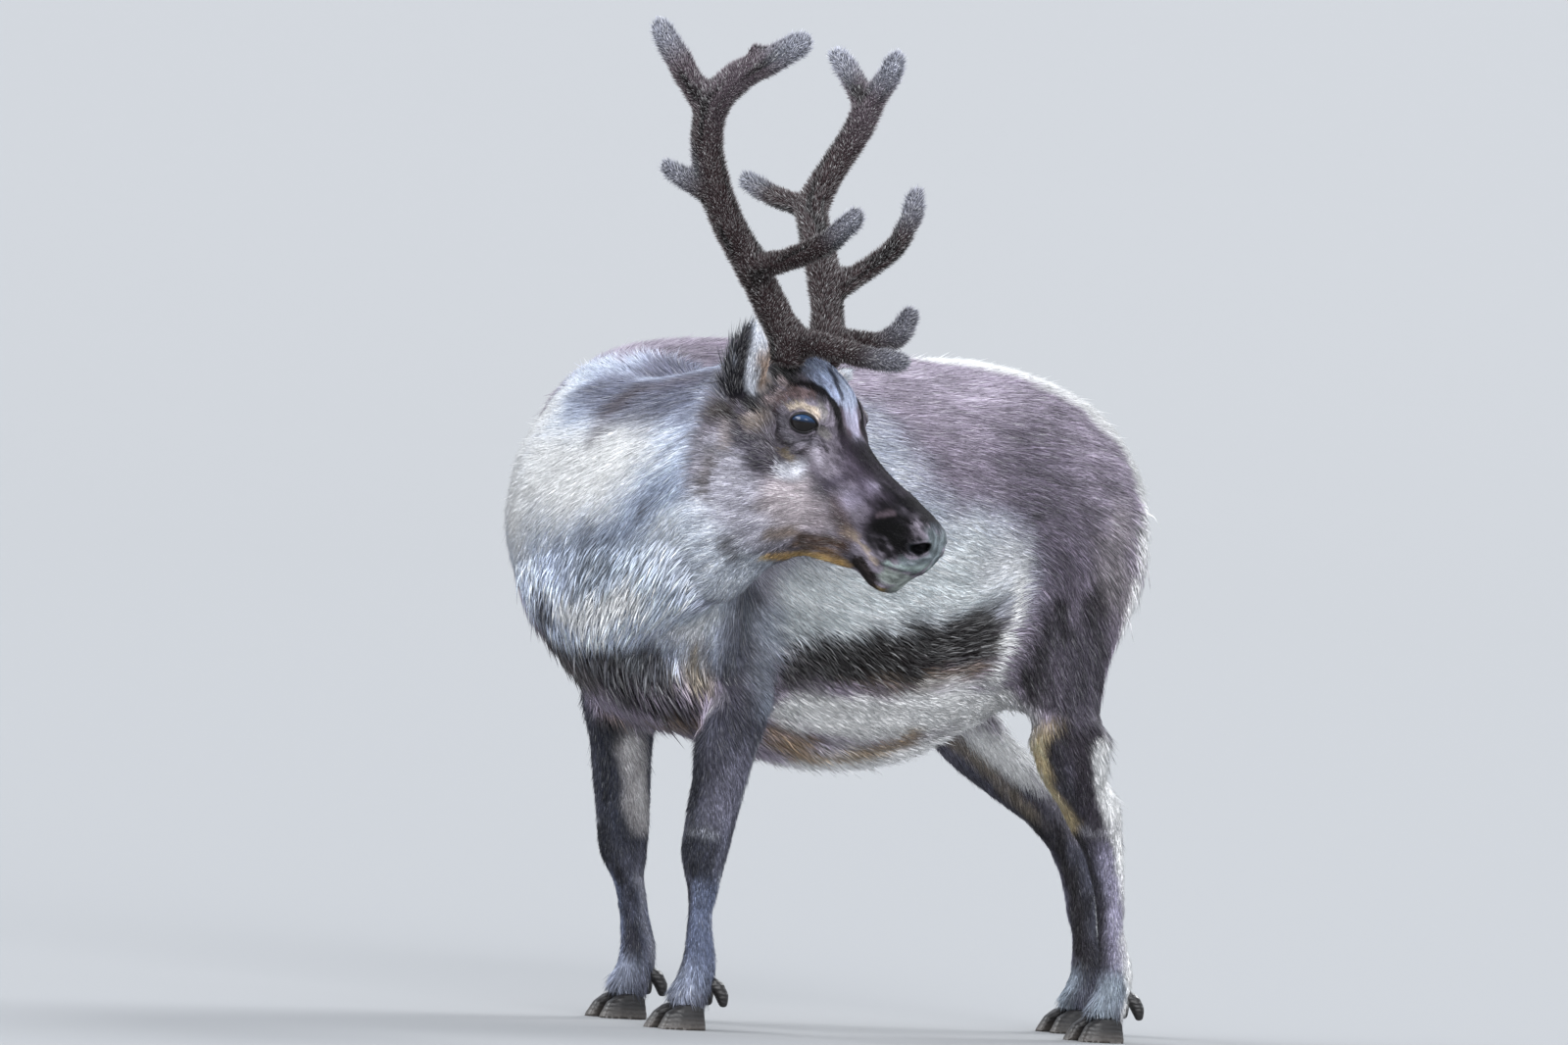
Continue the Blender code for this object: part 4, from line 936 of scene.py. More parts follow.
# Chin and jaw
mark("head", tone(40, 32, 28), 0.95, 0.0120, 0.004,
     (-0.070, 0.028, -0.074), (-0.060, 0.026, -0.080), (-0.050, 0.022, -0.086), (-0.046, 0.0, -0.094))
mark("head", tone(136, 144, 140), 0.97, 0.0110, 0.0035,
     (-0.031, 0.022, -0.068), (-0.020, 0.012, -0.060), (-0.020, 0.0, -0.064), (-0.028, 0.0, -0.074))
mark("head", tone(150, 130, 84), 0.75, 0.0036, 0.003, (-0.038, 0.016, -0.084), (-0.036, 0.0, -0.086))
mark("head", tone(206, 170, 110), 0.90, 0.0095, 0.0055,
     (-0.170, 0.044, -0.132), (-0.152, 0.024, -0.122), (-0.130, 0.020, -0.106), (-0.112, 0.020, -0.096),
     (-0.094, 0.018, -0.090))
mark("head", tone(130, 100, 68), 0.80, 0.0060, 0.005,
     (-0.104, 0.032, -0.080), (-0.125, 0.036, -0.091), (-0.148, 0.042, -0.102))
mark("head", tone(82, 60, 44), 0.90, 0.0080, 0.005,
     (-0.098, 0.038, -0.068), (-0.112, 0.040, -0.073), (-0.128, 0.040, -0.080), (-0.146, 0.045, -0.088))
mark("head", tone(136, 116, 96), 0.7, 0.0080, 0.006, (-0.156, 0.052, -0.088), (-0.172, 0.064, -0.100))
colour += (0.95 * (1 - rise(nostril_in, 0.95, 1.3)))[:, None] * (tone(12, 13, 17) - colour)
colour += (0.9 * hump(face_out, 0, 0.0022))[:, None] * (tone(20, 17, 18) - colour)
colour += (0.97 * (1 - rise(eye_past, 0.10, 0.24)))[:, None] * (tone(14, 12, 15) - colour)
tear_away = np.minimum(*(near_line(head, np.array(TEAR_LINE) * (1, s, 1))[0] for s in (-1, 1)))
colour += (0.95 * (1 - rise(tear_away, 0.0012, 0.0032)))[:, None] * (tone(14, 12, 16) - colour)

# Ears: dark and flecked outside, with a white edge and a warm hollow, and paler towards the tip
for name in EARS:
    up_ear, front_ear, in_ear = ear_places[name]
    front_ear = front_ear + 0.0012 * streaks
    in_ear = in_ear + 0.0012 * locks
    own = share_of[name]
    rear = own * (1 - rise(front_ear, -0.011, -0.003)) * rise(up_ear, 0.1, 0.3)
    colour += (0.22 * rear)[:, None] * (tone(110, 114, 124) - colour)
    colour += (0.35 * own * rise(streaks, 0.5, 1.3))[:, None] * (tone(140, 146, 158) - colour)
    strip = own * rise(front_ear, -0.004, 0.002) * rise(in_ear, -0.004, 0.001)
    colour += (0.95 * strip)[:, None] * (tone(186, 190, 200) - colour)
    warm = strip * rise(in_ear, 0.004, 0.010) * (1 - rise(up_ear, 0.55, 0.8))
    colour += (0.85 * warm)[:, None] * (tone(150, 122, 98) - colour)
    colour += (0.8 * own * rise(up_ear, 0.90, 1.0))[:, None] * (tone(150, 158, 170) - colour)
    colour += (0.8 * own * (1 - rise(up_ear, 0.06, 0.22)))[:, None] * (tone(66, 50, 38) - colour)

depth_of_streaks = 0.22 - 0.04 * head_share - 0.08 * share_of["neck"]
colour *= np.exp(
    depth_of_streaks * streaks + (0.14 - 0.03 * head_share - 0.07 * share_of["neck"]) * locks
    + 0.08 * value_noise(hide, 0.03, 11)
)[:, None]
colour *= (1 + 0.8 * leg_share - 0.2 * (head_share + ear_share))[:, None]

# Hide's finish: bare skin and the fur lying closest to it, as fine strands pressed in
# Under the coat the hide is painted darker than its markings: painted shade between the tufts. Only the
# face, where the hair is short, keeps the full colour.
HIDE_PAINTED_SHADE = 0.55  # the hide against the tufts over it
STRAND = 0.16  # how much longer a strand's mark is than wide
colour_layer = skin.data.color_attributes.new("coat_colour", "FLOAT_COLOR", "POINT")
bare = 1 - (1 - HIDE_PAINTED_SHADE) * (1 - rise(face, 0.4, 0.9) * head_share)
shown = np.column_stack((colour * bare[:, None], np.ones(len(colour))))
colour_layer.data.foreach_set("color", shown.astype(np.float32).ravel())
grain_axes = {name: np.array((0.0, 1.0, 0.0)) for name in REGIONS}
grain_axes["head"] = HEAD_FORWARD
for name in LEGS + ["tail"]:
    grain_axes[name] = np.array((0.0, 0.0, 1.0))
for name, (ear_base, ear_tip) in EARS.items():
    grain_axes[name] = unit(from_head(*ear_tip) - from_head(*ear_base))
grain = hide - (1 - STRAND) * sum(
    share_of[name][:, None] * (hide @ axis)[:, None] * axis for name, axis in grain_axes.items()
)
grain_layer = skin.data.attributes.new("strands", "FLOAT_VECTOR", "POINT")
grain_layer.data.foreach_set("vector", grain.astype(np.float32).ravel())


def new_material(name):
    material = bpy.data.materials.new(name)
    material.use_nodes = True
    tree = material.node_tree
    return material, tree, tree.nodes["Principled BSDF"]


hide_finish, tree, shader = new_material("hide")
paint = tree.nodes.new("ShaderNodeAttribute")
paint.attribute_name = "coat_colour"
strands = tree.nodes.new("ShaderNodeAttribute")
strands.attribute_name = "strands"
strand_noise = tree.nodes.new("ShaderNodeTexNoise")
strand_noise.inputs["Scale"].default_value = 900
strand_noise.inputs["Detail"].default_value = 3
fleck = tree.nodes.new("ShaderNodeMapRange")
fleck.inputs["From Min"].default_value = 0.3
fleck.inputs["From Max"].default_value = 0.7
fleck.inputs["To Min"].default_value = 0.72
fleck.inputs["To Max"].default_value = 1.28
flecked = tree.nodes.new("ShaderNodeMix")
flecked.data_type = "RGBA"
flecked.blend_type = "MULTIPLY"
flecked.inputs["Factor"].default_value = 1
bump = tree.nodes.new("ShaderNodeBump")
bump.inputs["Strength"].default_value = 0.6
bump.inputs["Distance"].default_value = 0.0012
tree.links.new(strands.outputs["Vector"], strand_noise.inputs["Vector"])
tree.links.new(strand_noise.outputs["Fac"], fleck.inputs["Value"])
tree.links.new(strand_noise.outputs["Fac"], bump.inputs["Height"])
tree.links.new(paint.outputs["Color"], flecked.inputs["A"])
tree.links.new(fleck.outputs["Result"], flecked.inputs["B"])
tree.links.new(flecked.outputs["Result"], shader.inputs["Base Color"])
tree.links.new(bump.outputs["Normal"], shader.inputs["Normal"])
shader.inputs["Roughness"].default_value = 0.75
shader.inputs["Specular IOR Level"].default_value = 0.06

# The body's even faces are thinned out, and those of the face are kept
SKIN_FACES = 180000
plain = np.flatnonzero((head_share < 0.3) | (head[:, 0] < -0.27))
thinned = skin.vertex_groups.new(name="thinned")
thinned.add(plain.tolist(), 1.0, "REPLACE")
thinning = skin.modifiers.new("thinning", "DECIMATE")
thinning.ratio = SKIN_FACES / len(hide_faces)
thinning.vertex_group = "thinned"
shown_mesh = bpy.data.meshes.new_from_object(
    skin.evaluated_get(bpy.context.evaluated_depsgraph_get())
)
skin.modifiers.clear()
skin.vertex_groups.clear()
skin.data = shown_mesh
skin.data.materials.clear()
skin.data.materials.append(hide_finish)
skin.data.shade_smooth()
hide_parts(*FLESH)
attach(skin, "root")

# Eyes
# Moist dark balls under a clear front, each held by bare black lids that come to a point in front.

# Each ball is dark brown below, and its upper part is painted blue: a painted reflection of the sky.
EYE_BROWN = (0.004, 0.003, 0.003, 1)
EYE_PAINTED_SKY_REFLECTION = (0.014, 0.036, 0.085, 1)
lid_finish, tree, shader = new_material("lid_skin")
wrinkles = tree.nodes.new("ShaderNodeTexNoise")
wrinkles.inputs["Scale"].default_value = 1400
wrinkles.inputs["Detail"].default_value = 2
lid_bump = tree.nodes.new("ShaderNodeBump")
lid_bump.inputs["Strength"].default_value = 0.4
lid_bump.inputs["Distance"].default_value = 0.0004
lid_place = tree.nodes.new("ShaderNodeTexCoord")
lid_tint = tree.nodes.new("ShaderNodeValToRGB")
lid_tint.color_ramp.elements[0].color = (0.004, 0.004, 0.005, 1)
lid_tint.color_ramp.elements[1].color = (0.012, 0.010, 0.011, 1)
tree.links.new(lid_place.outputs["Object"], wrinkles.inputs["Vector"])
tree.links.new(wrinkles.outputs["Fac"], lid_tint.inputs["Fac"])
tree.links.new(lid_tint.outputs["Color"], shader.inputs["Base Color"])
tree.links.new(wrinkles.outputs["Fac"], lid_bump.inputs["Height"])
tree.links.new(lid_bump.outputs["Normal"], shader.inputs["Normal"])
shader.inputs["Roughness"].default_value = 0.38
shader.inputs["Specular IOR Level"].default_value = 0.22

ball_finish, tree, shader = new_material("eyeball")
ball_place = tree.nodes.new("ShaderNodeAttribute")
ball_place.attribute_name = "eye_height"
ball_tint_and_painted_reflection = tree.nodes.new("ShaderNodeValToRGB")
ball_tint_and_painted_reflection.color_ramp.elements[0].position = 0.53
ball_tint_and_painted_reflection.color_ramp.elements[0].color = EYE_BROWN
ball_tint_and_painted_reflection.color_ramp.elements[1].position = 0.68
ball_tint_and_painted_reflection.color_ramp.elements[1].color = EYE_PAINTED_SKY_REFLECTION
tree.links.new(ball_place.outputs["Fac"], ball_tint_and_painted_reflection.inputs["Fac"])
tree.links.new(ball_tint_and_painted_reflection.outputs["Color"], shader.inputs["Base Color"])
shader.inputs["Roughness"].default_value = 0.05
shader.inputs["IOR"].default_value = 1.38

for side, word in ((1, "left"), (-1, "right")):
    outward, forward, over = eye_axes(side)
    middle = np.array(EYE_PLACE) * (1, side, 1)
    bm = bmesh.new()
    bmesh.ops.create_icosphere(bm, subdivisions=4, radius=EYE_RADIUS)
    ball_points = np.array([vertex.co for vertex in bm.verts])
    bulge = 0.0009 * rise(ball_points @ outward / EYE_RADIUS, 0.80, 0.97)
    ball_points = middle + ball_points * (1 + bulge / EYE_RADIUS)[:, None]
    heights = ((ball_points - middle) @ over / EYE_RADIUS + 1) / 2
    for vertex, place in zip(bm.verts, NOSE_TIP + ball_points @ HEAD_AXES):
        vertex.co = place
    mesh = bpy.data.meshes.new(f"eyeball_{word}")
    bm.to_mesh(mesh)
    bm.free()
    layer = mesh.attributes.new("eye_height", "FLOAT", "POINT")
    layer.data.foreach_set("value", heights.astype(np.float32))
    mesh.shade_smooth()
    mesh.materials.append(ball_finish)
    ball = bpy.data.objects.new(f"eyeball_{word}", mesh)
    bpy.context.scene.collection.objects.link(ball)
    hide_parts(f"eye_{word}")
    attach(ball, "root")

    bm = bmesh.new()
    rings = []
    for k in range(LID_STEPS):
        u, v = edge_u[k], edge_v[k]
        ahead_u = edge_u[(k + 1) % LID_STEPS] - edge_u[k - 1]
        ahead_v = edge_v[(k + 1) % LID_STEPS] - edge_v[k - 1]
        away_way = unit(np.array((ahead_v, -ahead_u)))
        thick = 0.0019 + 0.0009 * max(v, 0) / EYE_OPENING[1] + 0.0010 * max(u / EYE_OPENING[0], 0) ** 6
        u, v = np.array((u, v)) + away_way * thick * 0.55 / EYE_RADIUS
        ray = u * forward + v * over + math.sqrt(max(1 - u * u - v * v, 0)) * outward
        place = middle + ray * (EYE_RADIUS + 0.0004)
        tangent = unit(ahead_u * forward + ahead_v * over)
        sideways = unit(np.cross(ray, tangent))
        columns = [Vector(axis @ HEAD_AXES) for axis in (sideways * thick, ray * 0.0011, tangent)]
        turn = Matrix(columns).transposed().to_4x4()
        at = Vector(NOSE_TIP + place @ HEAD_AXES)
        made = bmesh.ops.create_circle(
            bm, segments=8, radius=1, matrix=Matrix.Translation(at) @ turn
        )
        rings.append(made["verts"])
    for k, ring in enumerate(rings):
        loops = [set(ring), set(rings[(k + 1) % LID_STEPS])]
        edges = [edge for edge in bm.edges if any(set(edge.verts) <= loop for loop in loops)]
        bmesh.ops.bridge_loops(bm, edges=edges)
    bmesh.ops.recalc_face_normals(bm, faces=bm.faces)
    mesh = bpy.data.meshes.new(f"lids_{word}")
    bm.to_mesh(mesh)
    bm.free()
    mesh.shade_smooth()
    mesh.materials.append(lid_finish)
    lids = bpy.data.objects.new(f"lids_{word}", mesh)
    bpy.context.scene.collection.objects.link(lids)
    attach(lids, "root")

# Antlers
# Growing bone in its velvet, each one unbroken piece that forks from a stout beam, with pale
# blunt tips. The short velvet stands out all over it.

ANTLER_GRID = 0.0030
VELVET_DEPTH = 0.0032
ANTLER_TIPS = {
    "right": ((-0.433, -0.133, 0.416), (-0.580, -0.179, 0.341), (-0.490, -0.152, 0.202),
              (-0.262, -0.120, 0.285), (-0.161, -0.027, 0.151)),
    "left": ((-0.454, 0.146, 0.392), (-0.530, 0.160, 0.349), (-0.545, 0.148, 0.163),
             (-0.333, 0.134, 0.279), (-0.219, 0.050, 0.180)),
}
PALM_KNOB = (-0.475, -0.153, 0.384)
KNOB_WAY = (-0.34, -0.42, 0.84)
TIP_PALE = (1.0, 1.0, 0.75, 0.75, 0.6)  # the top tips are the palest
BEAM_SHADE = tone(68, 53, 55)
PALM_SHADE = tone(100, 89, 97)
TIP_SHADE = tone(140, 143, 155)
FURROW_STREAK_AND_PAINTED_SHADE = tone(26, 22, 23)


def steps_from_base(points, edges, start):
    """How far each point is from the start along the surface, by the shortest run of edges."""
    reach = np.linalg.norm(points[edges[:, 0]] - points[edges[:, 1]], axis=1)
    far = np.where(start, 0.0, np.inf)
    for _ in range(len(points)):
        before = far.copy()
        np.minimum.at(far, edges[:, 0], before[edges[:, 1]] + reach)
        np.minimum.at(far, edges[:, 1], before[edges[:, 0]] + reach)
        if np.array_equal(far, before):
            break
    return far


velvet_finish, tree, shader = new_material("velvet")
velvet_paint = tree.nodes.new("ShaderNodeAttribute")
velvet_paint.attribute_name = "coat_colour"
velvet_place = tree.nodes.new("ShaderNodeTexCoord")
nap = tree.nodes.new("ShaderNodeTexNoise")
nap.inputs["Scale"].default_value = 520
nap.inputs["Detail"].default_value = 4
nap_bump = tree.nodes.new("ShaderNodeBump")
nap_bump.inputs["Strength"].default_value = 0.7
nap_bump.inputs["Distance"].default_value = 0.0012
tree.links.new(velvet_paint.outputs["Color"], shader.inputs["Base Color"])
tree.links.new(velvet_place.outputs["Object"], nap.inputs["Vector"])
tree.links.new(nap.outputs["Fac"], nap_bump.inputs["Height"])
tree.links.new(nap_bump.outputs["Normal"], shader.inputs["Normal"])
shader.inputs["Roughness"].default_value = 0.9
shader.inputs["Specular IOR Level"].default_value = 0.08

velvet_hides = {}
for word, tips in ANTLER_TIPS.items():
    nodes = [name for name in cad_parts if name.startswith(f"antler_{word}")]
    antler = blended(f"antler_{word}", nodes, {"all": 0.0009}, ANTLER_GRID)
    bm = bmesh.new()
    bm.from_mesh(antler.data)
    bmesh.ops.triangulate(bm, faces=bm.faces)
    bm.to_mesh(antler.data)
    bm.free()
    points = read_array(antler.data.vertices, "co", 3)
    edges = read_array(antler.data.edges, "vertices", 2, np.int32)
    points = relaxed(points, edges, 14)
    antler.data.vertices.foreach_set("co", points.astype(np.float32).ravel())
    antler.data.update()
    out_way = np.empty(len(points) * 3, np.float32)
    antler.data.vertex_normals.foreach_get("vector", out_way)
    out_way = out_way.reshape(-1, 3).astype(float)
    base_at = from_head(-0.284, 0.042 * (1 if word == "left" else -1), 0.066)
    far = steps_from_base(points, edges, np.linalg.norm(points - base_at, axis=1) < 0.030)
    way = np.zeros_like(points)
    run = points[edges[:, 1]] - points[edges[:, 0]]
    gain = (far[edges[:, 1]] - far[edges[:, 0]])[:, None] * run
    for k in range(3):
        way[:, k] = np.bincount(edges.ravel(), np.repeat(gain[:, k], 2), len(points))
    for _ in range(3):
        way = unit(way - np.sum(way * out_way, axis=1)[:, None] * out_way)
        way = relaxed(way, edges, 4)
    way = unit(way - np.sum(way * out_way, axis=1)[:, None] * out_way)
    around = np.cross(way, out_way)
    furrow_place = np.column_stack((
        out_way @ HEAD_FORWARD * 0.021, out_way @ HEAD_LEFT * 0.021, far * 0.09,
    ))
    furrow = value_noise(furrow_place + points * 0.10, 0.009, 21)
    lumps = value_noise(points, 0.020, 22)
    points += ((0.0007 * furrow + 0.0008 * lumps - VELVET_DEPTH))[:, None] * out_way
    if word == "right":
        knob = np.linalg.norm(points - from_head(*PALM_KNOB), axis=1)
        growth = 0.0115 * hump(knob, 0, 0.0100) - 0.007 * hump(knob, 0, 0.030)
        points += growth[:, None] * unit(np.array(KNOB_WAY))
    antler.data.vertices.foreach_set("co", points.astype(np.float32).ravel())
    antler.data.update()
    antler_head = in_head(points)
    shade = BEAM_SHADE + rise(antler_head[:, 2], 0.24, 0.36)[:, None] * (PALM_SHADE - BEAM_SHADE)
    # The velvet is darker down in its furrows: its own dark streaks, and painted shade in the grooves.
    shade = shade + (0.85 * rise(-furrow, 0.05, 0.5))[:, None] * (FURROW_STREAK_AND_PAINTED_SHADE - shade)
    each_away = np.array([np.linalg.norm(antler_head - np.array(tip), axis=1) for tip in tips])
    tip_away = each_away.min(axis=0)
    near_tip = (np.array(TIP_PALE)[:, None] * (1 - rise(each_away, 0.008, 0.060))).max(axis=0)
    shade = shade + (0.88 * near_tip)[:, None] * (TIP_SHADE - shade)
    # The velvet's hide is painted darker than its tufts: painted shade between them.
    layer = antler.data.color_attributes.new("coat_colour", "FLOAT_COLOR", "POINT")
    shown = np.column_stack((shade * 0.55, np.ones(len(shade))))
    layer.data.foreach_set("color", shown.astype(np.float32).ravel())
    antler.data.materials.clear()
    antler.data.materials.append(velvet_finish)
    antler.data.shade_smooth()
    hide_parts(*nodes)
    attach(antler, "root")
    tip_hair = 1 - rise(tip_away, 0.012, 0.050)
    velvet_hides[word] = {
        "points": points, "faces": read_array(antler.data.polygons, "vertices", 3, np.int32),
        "normals": out_way, "lie": way, "colour": shade,
        "hair": 0.0068 + 0.0016 * tip_hair,
    }

# Hooves
# Broad black horn, two claws to a foot and two dewclaws behind, flat where they stand and worn
# grey along the ground.

HOOF_GRID = 0.0022
horn, tree, shader = new_material("horn")
horn_place = tree.nodes.new("ShaderNodeTexCoord")
rings_of_growth = tree.nodes.new("ShaderNodeTexWave")
rings_of_growth.bands_direction = "Z"
rings_of_growth.inputs["Scale"].default_value = 60
rings_of_growth.inputs["Distortion"].default_value = 3.0
rings_of_growth.inputs["Detail Scale"].default_value = 1.5
grit = tree.nodes.new("ShaderNodeTexNoise")
grit.inputs["Scale"].default_value = 260
grit.inputs["Detail"].default_value = 5
horn_split = tree.nodes.new("ShaderNodeSeparateXYZ")
wear = tree.nodes.new("ShaderNodeMapRange")
wear.inputs["From Min"].default_value = 0.002
wear.inputs["From Max"].default_value = 0.016
wear.inputs["To Min"].default_value = 0.75
wear.inputs["To Max"].default_value = 0.0
worn = tree.nodes.new("ShaderNodeMath")
worn.operation = "MULTIPLY"
horn_tint = tree.nodes.new("ShaderNodeValToRGB")
horn_tint.color_ramp.elements[0].color = (0.010, 0.009, 0.009, 1)
horn_tint.color_ramp.elements[1].color = (0.115, 0.100, 0.088, 1)
horn_relief = tree.nodes.new("ShaderNodeMath")
horn_relief.operation = "ADD"
horn_bump = tree.nodes.new("ShaderNodeBump")
horn_bump.inputs["Strength"].default_value = 0.5
horn_bump.inputs["Distance"].default_value = 0.0007
tree.links.new(horn_place.outputs["Object"], rings_of_growth.inputs["Vector"])
tree.links.new(horn_place.outputs["Object"], grit.inputs["Vector"])
tree.links.new(horn_place.outputs["Object"], horn_split.inputs["Vector"])
tree.links.new(horn_split.outputs["Z"], wear.inputs["Value"])
tree.links.new(wear.outputs["Result"], worn.inputs[0])
tree.links.new(grit.outputs["Fac"], worn.inputs[1])
tree.links.new(worn.outputs["Value"], horn_tint.inputs["Fac"])
tree.links.new(horn_tint.outputs["Color"], shader.inputs["Base Color"])
tree.links.new(rings_of_growth.outputs["Fac"], horn_relief.inputs[0])
tree.links.new(grit.outputs["Fac"], horn_relief.inputs[1])
tree.links.new(horn_relief.outputs["Value"], horn_bump.inputs["Height"])
tree.links.new(horn_bump.outputs["Normal"], shader.inputs["Normal"])
shader.inputs["Roughness"].default_value = 0.42

for node in [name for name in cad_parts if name.startswith(("claw", "dewclaw"))]:
    hoof = blended(node.replace("claw", "hoof"), [node], {"all": 0.0}, HOOF_GRID)
    points = read_array(hoof.data.vertices, "co", 3)
    edges = read_array(hoof.data.edges, "vertices", 2, np.int32)
    floor_level = points[:, 2] < 0.0016
    points = relaxed(points, edges, 5)
    if node.startswith("claw"):
        points[floor_level, 2] = 0
        points[:, 2] = np.maximum(points[:, 2], 0)
    hoof.data.vertices.foreach_set("co", points.astype(np.float32).ravel())
    hoof.data.update()
    hoof.data.materials.clear()
    hoof.data.materials.append(horn)
    hoof.data.shade_smooth()
    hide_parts(node)
    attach(hoof, "root")

# Coat
# Tufts of hair over the whole hide, each a thin flattened lock that is widest at its root and lies
# along the body. Short ones are straight, and those of mane, chest, belly and tail bend.

COVER = 2.4  # layers of tufts over each place
LONG_HAIR = 0.0295
COAT_SEED = 7
PATCH = 0.003  # each tuft's width on its map
FROST = tone(226, 228, 236)  # the pale ends of many hairs

hair_finish, tree, shader = new_material("hair")
hair_paint = tree.nodes.new("ShaderNodeAttribute")
hair_paint.attribute_name = "coat_colour"
tree.links.new(hair_paint.outputs["Color"], shader.inputs["Base Color"])
shader.inputs["Roughness"].default_value = 0.62
shader.inputs["Specular IOR Level"].default_value = 0.05
shader.inputs["Sheen Weight"].default_value = 0.02
shader.inputs["Sheen Roughness"].default_value = 0.4


def mesh_of(name, points, faces):
    """A triangle mesh from arrays."""
    mesh = bpy.data.meshes.new(name)
    mesh.vertices.add(len(points))
    mesh.vertices.foreach_set("co", points.astype(np.float32).ravel())
    mesh.loops.add(faces.size)
    mesh.loops.foreach_set("vertex_index", faces.astype(np.int32).ravel())
    mesh.polygons.add(len(faces))
    mesh.polygons.foreach_set("loop_start", np.arange(0, faces.size, 3, dtype=np.int32))
    mesh.update(calc_edges=True)
    return mesh


def unwrapped(points, faces):
    """The hide's faces laid out flat on a square, as a place for each face's corners."""
    used, renumbered = np.unique(faces, return_inverse=True)
    patch = bpy.data.objects.new("patch", mesh_of("patch", points[used], renumbered.reshape(-1, 3)))
    bpy.context.scene.collection.objects.link(patch)
    bpy.context.view_layer.objects.active = patch
    patch.select_set(True)
    bpy.ops.object.mode_set(mode="EDIT")
    bpy.ops.mesh.select_all(action="SELECT")
    bpy.ops.uv.smart_project(angle_limit=math.radians(60), island_margin=0.002)
    bpy.ops.object.mode_set(mode="OBJECT")
    layout = read_array(patch.data.uv_layers.active.data, "uv", 2).reshape(-1, 3, 2)
    mesh = patch.data
    bpy.data.objects.remove(patch)
    bpy.data.meshes.remove(mesh)
    return layout


def tufted(name, hide_of, chosen, width_share, seed):
    """One piece of coat: tufts rooted on the chosen faces of a hide."""
    rng = np.random.default_rng(COAT_SEED + seed)
    points, normals_of = hide_of["points"], hide_of["normals"]
    faces = hide_of["faces"][chosen]
    corners = points[faces]
    area = np.linalg.norm(
        np.cross(corners[:, 1] - corners[:, 0], corners[:, 2] - corners[:, 0]), axis=1
    ) / 2
    length_there = hide_of["hair"][faces].mean(axis=1)
    width_there = width_share * length_there ** 0.62
    thick = hide_of["cover"][faces].mean(axis=1) if "cover" in hide_of else 1.0
    wanted = np.cumsum(area * COVER * thick / (0.5 * length_there * width_there))
    roots = np.arange(0.5, wanted[-1]) + rng.uniform(-0.4, 0.4, int(wanted[-1] + 0.5))
    face = np.searchsorted(wanted, np.clip(roots, 0, wanted[-1] - SURE))
    mix = rng.dirichlet((1, 1, 1), len(face))
    layout = unwrapped(points, faces)

    def blend_of(values):
        return np.einsum("ij,ij...->i...", mix, values[faces[face]])

    root = blend_of(points)
    normal = unit(blend_of(normals_of))
    way = blend_of(hide_of["lie"])
    shade = blend_of(hide_of["colour"])
    length = blend_of(hide_of["hair"]) * rng.uniform(0.72, 1.22, len(face))
    width = width_share * blend_of(hide_of["hair"]) ** 0.62 * rng.uniform(0.75, 1.3, len(face))
    stray = rng.random(len(face)) < hide_of["strays"]
    length[stray] *= 1.25
    turn = 0.16 * value_noise(root, 0.016, seed + 31) + rng.normal(0, 0.12, len(face))
    across_way = np.cross(normal, way)
    way = unit(np.cos(turn)[:, None] * way + np.sin(turn)[:, None] * across_way)
    rise_up = hide_of["lift"] * (1 + 0.3 * value_noise(root, 0.012, seed + 32))
    rise_up = rise_up * rng.normal(1, 0.25, len(face)) + 0.18 * stray
    start_way = unit(np.cos(rise_up)[:, None] * way + np.sin(rise_up)[:, None] * normal)
    flat_way = np.cross(start_way, np.cross(normal, way))
    sideways = unit(np.cross(start_way, flat_way))
    twist = rng.normal(0, 0.35, len(face))
    top = unit(np.cross(sideways, start_way))
    sideways, top = (
        np.cos(twist)[:, None] * sideways + np.sin(twist)[:, None] * top,
        np.cos(twist)[:, None] * top - np.sin(twist)[:, None] * sideways,
    )
    top *= np.sign(np.sum(top * normal, axis=1))[:, None]
    root = root - 0.0008 * normal
    half = (width / 2)[:, None]
    at_root = (root - half * sideways, root + half * sideways, root + 0.6 * half * top)
    bent = hide_of["long"]
    if bent:
        middle = root + 0.5 * length[:, None] * start_way
        later = unit(start_way - 0.22 * normal + np.array((0, 0, -0.30)))
        tip = middle + 0.5 * length[:, None] * later
        at_middle = (
            middle - 0.62 * half * sideways, middle + 0.62 * half * sideways, middle + 0.45 * half * top,
        )
        verts = np.stack((*at_root, *at_middle, tip), axis=1)
        plan = ((0, 1, 2), (0, 2, 5), (0, 5, 3), (2, 1, 4), (2, 4, 5), (1, 0, 3), (1, 3, 4),
                (3, 5, 6), (5, 4, 6), (4, 3, 6))
        reach = np.array((0, 0, 0, 0.5, 0.5, 0.5, 1))
        aside = np.array((-0.5, 0.5, 0, -0.3, 0.3, 0, 0))
    else:
        tip = root + length[:, None] * start_way
        verts = np.stack((*at_root, tip), axis=1)
        plan = ((0, 1, 2), (0, 2, 3), (2, 1, 3), (1, 0, 3))
        reach = np.array((0, 0, 0, 1))
        aside = np.array((-0.5, 0.5, 0, 0))
    plan = np.array(plan)
    first = verts[0] - verts[0, 0]
    a, b, c = (first[plan[:, k]] for k in range(3))
    volume = np.einsum("ij,ij->i", a, np.cross(b, c)).sum()
    if volume < 0:
        plan = plan[:, ::-1]
    verts = np.clip(verts, *np.array(cad_box))
    count = verts.shape[1]
    all_faces = (plan[None] + (np.arange(len(face)) * count)[:, None, None]).reshape(-1, 3)
    mesh = mesh_of(name, verts.reshape(-1, 3), all_faces)

    bright = np.exp(0.10 * value_noise(root, 0.013, seed + 33) + rng.normal(0, hide_of["vary"], len(face)))
    shade = shade * bright[:, None]
    frost = np.clip(hide_of["frost"] * rng.exponential(1.0, len(face)), 0, 0.9)[:, None]
